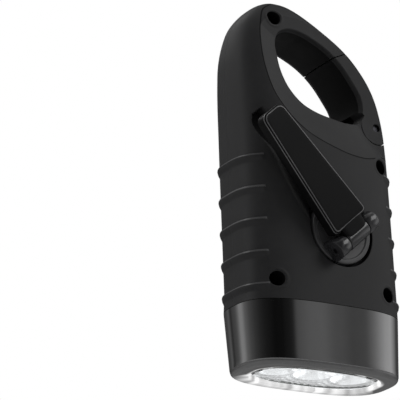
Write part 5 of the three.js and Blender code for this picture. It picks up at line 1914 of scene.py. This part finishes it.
@dataclass(frozen=True)
class SolarStrips(Finish):
    """The solar cell: ten brown strips with a pale line between each two, under clear resin, and a painted reflection
    that makes the brown lighter towards the top.
    """

    low: float
    high: float
    strips: int = 10
    line: float = 0.045

    def values(self, look: Look, effects: Effects) -> dict[str, object]:
        """The shader's values by their sockets' names."""
        count = float(self.strips)
        along = look.spread(look.split()[2], 0.0, count, self.low, self.high)
        edge = look.math("ABSOLUTE", look.less(look.math("FRACT", along), 0.5))
        line = look.spread(edge, 0.0, 1.0, 0.5 - self.line, 0.5 - self.line * 0.4)
        inside = look.product(line, look.math("GREATER_THAN", look.math("PINGPONG", along, count / 2), 0.2))
        odd = look.add("ShaderNodeTexWhiteNoise", {"W": look.math("FLOOR", along)}, noise_dimensions="1D")
        marks = look.group(effects.handling, Scale=120.0, Fine=0.4)["Mask"]
        uneven = look.product(look.math("ADD", odd.outputs["Value"], marks), 0.12)
        # Painted reflection: the brown is lighter towards the top of the cell
        share = look.math("ADD", look.spread(along, 0.75, 0.0, 0.0, count), uneven)
        brown = look.blend(share, (0.36, 0.215, 0.185), (0.185, 0.105, 0.09))
        return {
            "Base Color": look.blend(inside, brown, (0.62, 0.5, 0.46)),
            "Roughness": look.spread(marks, 0.28, 0.4),
            "Coat Weight": 0.35,
            "Coat Roughness": 0.08,
            "Normal": look.relief(inside, 0.3, 0.00005),
        }


@dataclass(frozen=True)
class Board(Finish):
    """A circuit board: green resist over a weave, with copper tracks."""

    def values(self, look: Look, effects: Effects) -> dict[str, object]:
        """The shader's values by their sockets' names."""
        weave = {
            "Vector": look.place, "Scale": 160.0, "Mortar Size": 0.05, "Color1": (0.02, 0.16, 0.06, 1),
            "Color2": (0.025, 0.2, 0.08, 1), "Mortar": (0.1, 0.3, 0.1, 1),
        }
        tracks = look.add("ShaderNodeTexBrick", weave).outputs
        marks = look.group(effects.handling, Scale=200.0, Fine=0.5)["Mask"]
        return {
            "Base Color": tracks["Color"],
            "Roughness": look.spread(marks, 0.3, 0.5),
            "Coat Weight": 0.3,
            "Normal": look.relief(tracks["Fac"], 0.3, 0.00003),
        }


@dataclass
class Wardrobe:
    """Every finish, built once, by name."""

    effects: Effects
    cell_span: tuple[float, float]
    lens_half: tuple[float, float]
    lens_power: float
    cup_pitch: float
    hub: tuple[float, float]
    crank_angle: float
    made: dict[str, Material] = field(default_factory=dict)

    def __post_init__(self) -> None:
        """Builds the materials."""
        shell = {
            "tone": (0.026, 0.026, 0.027), "worn": (0.034, 0.034, 0.035), "rough": (0.5, 0.6), "relief": 0.3,
            "specular": 0.3,
        }
        finishes = [
            Moulded("soft_touch_casing", **shell),
            PocketShaded("pocket_shaded_casing", **shell, hub=self.hub, angle=self.crank_angle),
            # Painted highlight for the arm's edge lines
            Moulded("painted_edge_highlight", (0.11, 0.11, 0.112), (0.15, 0.15, 0.152), (0.25, 0.35), relief=0.05),
            # Painted highlight for the ribs' upper flanks
            Moulded("rib_painted_highlight", (0.085, 0.085, 0.087), (0.11, 0.11, 0.112), (0.3, 0.4), relief=0.1),
            # Painted shade for the opening's inner wall, the holes' walls and floors and the crease line
            Moulded("painted_recess_shade", (0.004, 0.004, 0.0042), (0.006, 0.006, 0.0063), (0.55, 0.7), relief=0.3,
                    specular=0.15),
            Moulded("gloss_bezel", (0.27, 0.27, 0.272), (0.29, 0.29, 0.292), (0.05, 0.08), 1200, 0.02, metal=1.0),
            LitRim("satin_rim_painted_glow", self.lens_half, self.lens_power, self.cup_pitch),
            Moulded("solar_frame_plastic", (0.045, 0.046, 0.048), (0.06, 0.061, 0.063), (0.26, 0.34), 2400, 0.12),
            Moulded("crank_plastic", (0.005, 0.005, 0.0053), (0.008, 0.008, 0.0083), (0.34, 0.44), 2800, 0.2,
                    specular=0.08),
            Moulded("hinge_plastic", (0.026, 0.026, 0.028), (0.036, 0.036, 0.038), (0.13, 0.2), relief=0.1,
                    specular=0.7),
            Moulded("hub_disc_plastic", (0.075, 0.075, 0.077), (0.095, 0.095, 0.097), (0.35, 0.45), 2400),
            Moulded("rubber", (0.018, 0.018, 0.019), (0.026, 0.026, 0.027), (0.6, 0.75), 1800, 0.4, specular=0.3),
            Moulded("gear_nylon", (0.72, 0.69, 0.6), (0.66, 0.62, 0.53), (0.35, 0.5), 2000, 0.15),
            Moulded("battery_wrap", (0.02, 0.12, 0.32), (0.03, 0.15, 0.38), (0.2, 0.3), 900, 0.1, coat=0.5),
            Metal("steel", (0.55, 0.56, 0.58), (0.44, 0.45, 0.47)),
            Metal("black_steel", (0.05, 0.05, 0.055), (0.035, 0.035, 0.04), (0.3, 0.45)),
            Metal("copper", (0.75, 0.36, 0.2), (0.6, 0.27, 0.14), (0.25, 0.4), 0.4),
            LitBowls("reflector_chrome_painted_glow", self.cup_pitch),
            ClearPlastic("clear_lens"),
            LampDome("lit_dome"),
            SolarStrips("solar_strips", *self.cell_span),
            Board("green_board"),
        ]
        for finish in finishes:
            self.made[finish.name] = finish.build(self.effects)

    def __getitem__(self, name: str) -> Material:
        """A material by its finish's name."""
        return self.made[name]


def linked(name: str, data: bpy.types.ID) -> bpy.types.Object:
    """A new object in the scene."""
    made = bpy.data.objects.new(name, data)
    bpy.context.scene.collection.objects.link(made)
    return made


def direction(azimuth: float, elevation: float) -> Vector:
    """Unit vector at an azimuth round the object from -Y and at an elevation, both in degrees."""
    a, e = math.radians(azimuth), math.radians(elevation)
    return Vector((math.sin(a) * math.cos(e), -math.cos(a) * math.cos(e), math.sin(e)))


@dataclass
class Workshop:
    """Turns skins into finished pieces, and dresses the CAD nodes that stay."""

    wardrobe: Wardrobe
    nodes: dict
    crease: float = 32.0

    def body_of(self, node: str) -> str:
        """The CAD body that a node belongs to."""
        return self.nodes[node]["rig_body"]

    def piece(self, name: str, skin: Skin, finishes: list[str], stands_for: list[str],
              crease: float | None = None) -> bpy.types.Object:
        """A smooth-shaded object from a skin, riding on its node's body.

        Args:
            name: The piece's name.
            skin: Its mesh in millimetres, from the body's middle plane.
            finishes: Finish names, by the skin's finish numbers.
            stands_for: CAD nodes it replaces; the first gives its body.
            crease: Angle in degrees past which an edge stays sharp.

        Returns:
            The object.
        """
        points = ((skin.points + [0, SHIFT, 0]) * MILLIMETRE).astype(np.float32)
        keys = np.round(points / 2e-7).astype(np.int64)
        _, first, back = np.unique(keys, axis=0, return_index=True, return_inverse=True)
        faces = back.ravel()[skin.faces]
        real = (faces[:, 0] != faces[:, 1]) & (faces[:, 1] != faces[:, 2]) & (faces[:, 2] != faces[:, 0])
        faces, finish = faces[real].astype(np.int32), skin.finish[real].astype(np.int32)
        mesh = bpy.data.meshes.new(name)
        mesh.vertices.add(len(first))
        mesh.vertices.foreach_set("co", points[first].ravel())
        mesh.loops.add(faces.size)
        mesh.loops.foreach_set("vertex_index", faces.ravel())
        mesh.polygons.add(len(faces))
        mesh.polygons.foreach_set("loop_start", np.arange(0, faces.size, 3, dtype=np.int32))
        mesh.polygons.foreach_set("material_index", finish)
        mesh.update(calc_edges=True)
        mesh.validate()
        mesh.shade_smooth()
        mesh.set_sharp_from_angle(angle=math.radians(crease or self.crease))
        for finish_name in finishes:
            mesh.materials.append(self.wardrobe[finish_name])
        made = linked(name, mesh)
        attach(made, self.body_of(stands_for[0]))
        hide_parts(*stands_for)
        LOG.info("%s: %d triangles for %s", name, len(mesh.polygons), ", ".join(stands_for))
        return made

    def dress_nodes(self, finishes: dict[str, tuple[str, ...]]) -> None:
        """Gives each CAD node that stays a finish.

        Args:
            finishes: The nodes of each finish.
        """
        for finish, nodes in finishes.items():
            for node in nodes:
                mesh = self.nodes[node].data
                mesh.materials.clear()
                mesh.materials.append(self.wardrobe[finish])
                LOG.info("%s keeps its CAD solid in %s", node, finish)


@dataclass
class Studio:
    """Camera, lamps, floor and surroundings."""

    azimuth: float = 145.2679
    elevation: float = -20.2588
    roll: float = -3.393
    distance: float = 801.77
    focal_pixels: float = 2414.0
    centre_pixels: tuple = (304.062, 191.768)
    frame_pixels: float = 400.0
    target_height: float = 65.0
    floor_height: float = -300.0
    floor_half: float = 3.0
    # Name, azimuth, elevation, reach, size and power
    lamps: tuple = (
        ("key", 88, 31, 1.5, 0.65, 3.6), ("fill", 218, 34, 1.5, 0.75, 3.9),
        ("front", 20, 54, 1.2, 0.8, 2.4), ("top", 160, 78, 1.2, 0.8, 0.6),
    )

    def camera(self) -> bpy.types.Object:
        """The camera at the photograph's angle, aimed so that its own axis meets the frame's middle.

        Returns:
            The camera.
        """
        r = math.radians(self.roll)
        back = direction(self.azimuth, self.elevation)
        place = (back * self.distance + Vector((0, SHIFT, self.target_height))) * MILLIMETRE
        ahead = -back
        right = ahead.cross(Vector((0, 0, 1))).normalized()
        up = right.cross(ahead)
        right, up = right * math.cos(r) + up * math.sin(r), up * math.cos(r) - right * math.sin(r)
        middle = self.frame_pixels / 2
        aim = ahead + right * (middle - self.centre_pixels[0]) / self.focal_pixels
        aim = (aim - up * (middle - self.centre_pixels[1]) / self.focal_pixels).normalized()
        side = aim.cross(up).normalized()
        data = bpy.data.cameras.new("camera")
        data.lens = self.focal_pixels / self.frame_pixels * data.sensor_width
        data.clip_start, data.clip_end = 0.01, 20.0
        camera = linked("camera", data)
        turn = Matrix((side, side.cross(aim), -aim)).transposed()
        camera.matrix_world = Matrix.Translation(place) @ turn.to_4x4()
        bpy.context.scene.camera = camera
        return camera

    def lamp(self, name: str, azimuth: float, elevation: float, reach: float, size: float, power: float) -> None:
        """A soft square lamp that faces the object's middle.

        Args:
            name: The lamp's name.
            azimuth: Direction round the object, in degrees, as the camera's.
            elevation: Angle above the horizon.
            reach: Distance in metres.
            size: Side of the lamp in metres.
            power: Watts.
        """
        back = direction(azimuth, elevation)
        data = bpy.data.lights.new(name, "AREA")
        data.size, data.energy = size, power
        lamp = linked(name, data)
        lamp.location = back * reach + Vector((0, 0, self.target_height * MILLIMETRE))
        lamp.rotation_euler = back.to_track_quat("Z", "Y").to_euler()

    def surroundings(self) -> None:
        """White for the camera and through the lens; grey light; and soft panels that gloss reflects."""
        world = bpy.data.worlds.new("studio")
        bpy.context.scene.world = world
        world.use_nodes = True
        world.node_tree.nodes.clear()
        nodes = Nodes(world.node_tree, "Generated")
        x, y, _ = nodes.split()
        turn = nodes.math("ARCTAN2", x, nodes.product(y, -1.0))
        ramp = nodes.add("ShaderNodeValToRGB", {"Fac": nodes.spread(turn, 0.0, 1.0, -math.pi, math.pi)})
        self.panels(ramp.color_ramp)
        ray = nodes.add("ShaderNodeLightPath").outputs
        light = nodes.blend(ray["Is Glossy Ray"], (0.2, 0.2, 0.2), ramp.outputs["Color"])
        seen = nodes.math("MAXIMUM", ray["Is Camera Ray"], ray["Is Transmission Ray"])
        background = nodes.add("ShaderNodeBackground", {"Color": nodes.blend(seen, light, WHITE[:3])})
        nodes.add("ShaderNodeOutputWorld", {"Surface": background.outputs[0]})

    @staticmethod
    def panels(ramp: bpy.types.ColorRamp) -> None:
        """Soft panels and dark gaps round the object, by azimuth.

        Args:
            ramp: The ramp to fill, from azimuth -180 at 0 to 180 at 1.
        """
        stops = [
            (-180, 0.018), (-172, 0.03), (-168, 0.05), (-164, 0.2), (-155, 0.27), (-148, 0.29), (-144, 0.15),
            (-137, 0.18), (-130, 0.4), (-124, 0.62), (-116, 0.85), (-104, 0.95), (-92, 0.5), (-80, 0.12), (-30, 0.05),
            (10, 0.12), (24, 0.24), (31, 0.06), (36, 0.22), (45, 0.6), (53, 0.6), (66, 0.32), (85, 0.18), (107, 0.1),
            (127, 0.055), (142, 0.033), (166, 0.013), (178, 0.015),
        ]
        while len(ramp.elements) > 1:
            ramp.elements.remove(ramp.elements[-1])
        for number, (azimuth, level) in enumerate(stops):
            place = (azimuth + 180) / 360
            element = ramp.elements[0] if number == 0 else ramp.elements.new(place)
            element.position = place
            element.color = (level, level, level, 1)

    def floor(self) -> None:
        """A pale floor under the hanging object."""
        half, z = self.floor_half, self.floor_height * MILLIMETRE
        mesh = bpy.data.meshes.new("floor")
        corners = [(-half, -half, z), (half, -half, z), (half, half, z), (-half, half, z)]
        mesh.from_pydata(corners, [], [(0, 1, 2, 3)])
        look = Look("pale_floor")
        share = look.spread(look.noise(3.0, 2.0), 0.0, 1.0, 0.3, 0.7)
        tone = look.blend(share, (0.86, 0.86, 0.86), (0.9, 0.9, 0.9))
        mesh.materials.append(look.dressed({"Base Color": tone, "Roughness": 0.9, "Specular IOR Level": 0.0}))
        plane = linked("floor", mesh)

    def build(self) -> None:
        """Sets the whole studio up."""
        self.camera()
        self.surroundings()
        self.floor()
        for lamp in self.lamps:
            self.lamp(*lamp)
        bpy.context.scene.view_settings.view_transform = "Standard"


def build_head(shop: Workshop, head: Head) -> None:
    """Makes the bezel, lens, reflector and LEDs."""
    shop.piece("bezel_dress", head.bezel(), ["gloss_bezel", "satin_rim_painted_glow"], ["head_bezel"], 30)
    shop.piece("lens_dress", head.lens(), ["clear_lens"], ["lens"], 40)
    shop.piece("reflector_dress", head.reflector(), ["reflector_chrome_painted_glow"], ["reflector"], 50)
    for name, x in (("led_left", -head.cup_pitch), ("led_centre", 0.0), ("led_right", head.cup_pitch)):
        shop.piece(f"{name}_dress", head.led(x), ["lit_dome"], [name], 50)


def build_casing(shop: Workshop, casing: Casing) -> None:
    """Makes the two shells, the gate and the button."""
    front = ["soft_touch_casing", "painted_recess_shade", "rib_painted_highlight"]
    back = ["pocket_shaded_casing", "painted_recess_shade", "rib_painted_highlight"]
    shop.piece("front_casing", casing.shell(Side.FRONT), front, ["front_shell"])
    shop.piece("back_casing", casing.shell(Side.BACK), back, ["back_shell"])
    shop.piece("gate_dress", casing.gate_skin(), ["soft_touch_casing", "painted_recess_shade"], ["gate"])
    shop.piece("button_dress", casing.button.cap(), ["rubber"], ["power_button"], 40)


def build_crank(shop: Workshop, crank: Crank) -> None:
    """Makes the hub, hinge pin, arm, knob and knob screw."""
    shop.piece("hub_dress", crank.hub(), ["hinge_plastic", "hub_disc_plastic"], ["crank_hub"], 40)
    shop.piece("pin_dress", crank.pin_ends(), ["black_steel"], ["hinge_pin"], 40)
    shop.piece("arm_dress", crank.arm(), ["crank_plastic", "hinge_plastic", "painted_edge_highlight"], ["crank_arm"], 40)
    shop.piece("knob_dress", crank.knob(), ["crank_plastic"], ["crank_knob"], 40)
    shop.piece("knob_screw_dress", crank.knob_screw(), ["black_steel"], ["knob_screw"], 40)


def main() -> None:
    logging.basicConfig(level=logging.INFO, format="%(name)s: %(message)s")
    form = Form()
    gate, trim, head = Gate(form), Trim(form), Head(form)
    solar, button = SolarPanel(form), Button(form)
    crank = Crank(form, trim)
    casing = Casing(form, gate, trim, solar, button, crank)
    lens_half = tuple((side / 2 + head.rim_gap) * MILLIMETRE for side in (head.lens_width, head.lens_depth))
    cell_span, hub = (tuple(place * MILLIMETRE for place in pair) for pair in (solar.cell[1:], trim.hub))
    pitch, angle = head.cup_pitch * MILLIMETRE, math.radians(crank.angle)
    wardrobe = Wardrobe(Effects(), cell_span, lens_half, head.lens_roundness, pitch, hub, angle)
    shop = Workshop(wardrobe, frame["nodes"])
    build_head(shop, head)
    build_casing(shop, casing)
    shop.piece("solar_frame_dress", solar.frame(), ["solar_frame_plastic"], ["solar_frame"], 28)
    build_crank(shop, crank)
    shop.dress_nodes(
        {
            "rubber": ("lens_seal",),
            "green_board": ("led_board", "circuit_board"),
            "solar_strips": ("solar_cell",),
            "battery_wrap": ("battery_cell",),
            "crank_plastic": ("switch_body",),
            "copper": ("stator_coil",),
            "gear_nylon": ("drive_gear", "idler_gear", "second_idler_gear"),
            "black_steel": ("gate_pin", "generator_rotor", *(f"case_screw_{n}" for n in range(1, 5))),
            "steel": (
                "gate_spring", "idler_pin", "second_idler_pin", "gear_plate", "generator_case", "crank_shaft",
                *(f"plate_screw_{n}" for n in range(1, 4)),
            ),
        }
    )
    Studio().build()


if __name__ == "__main__":
    main()
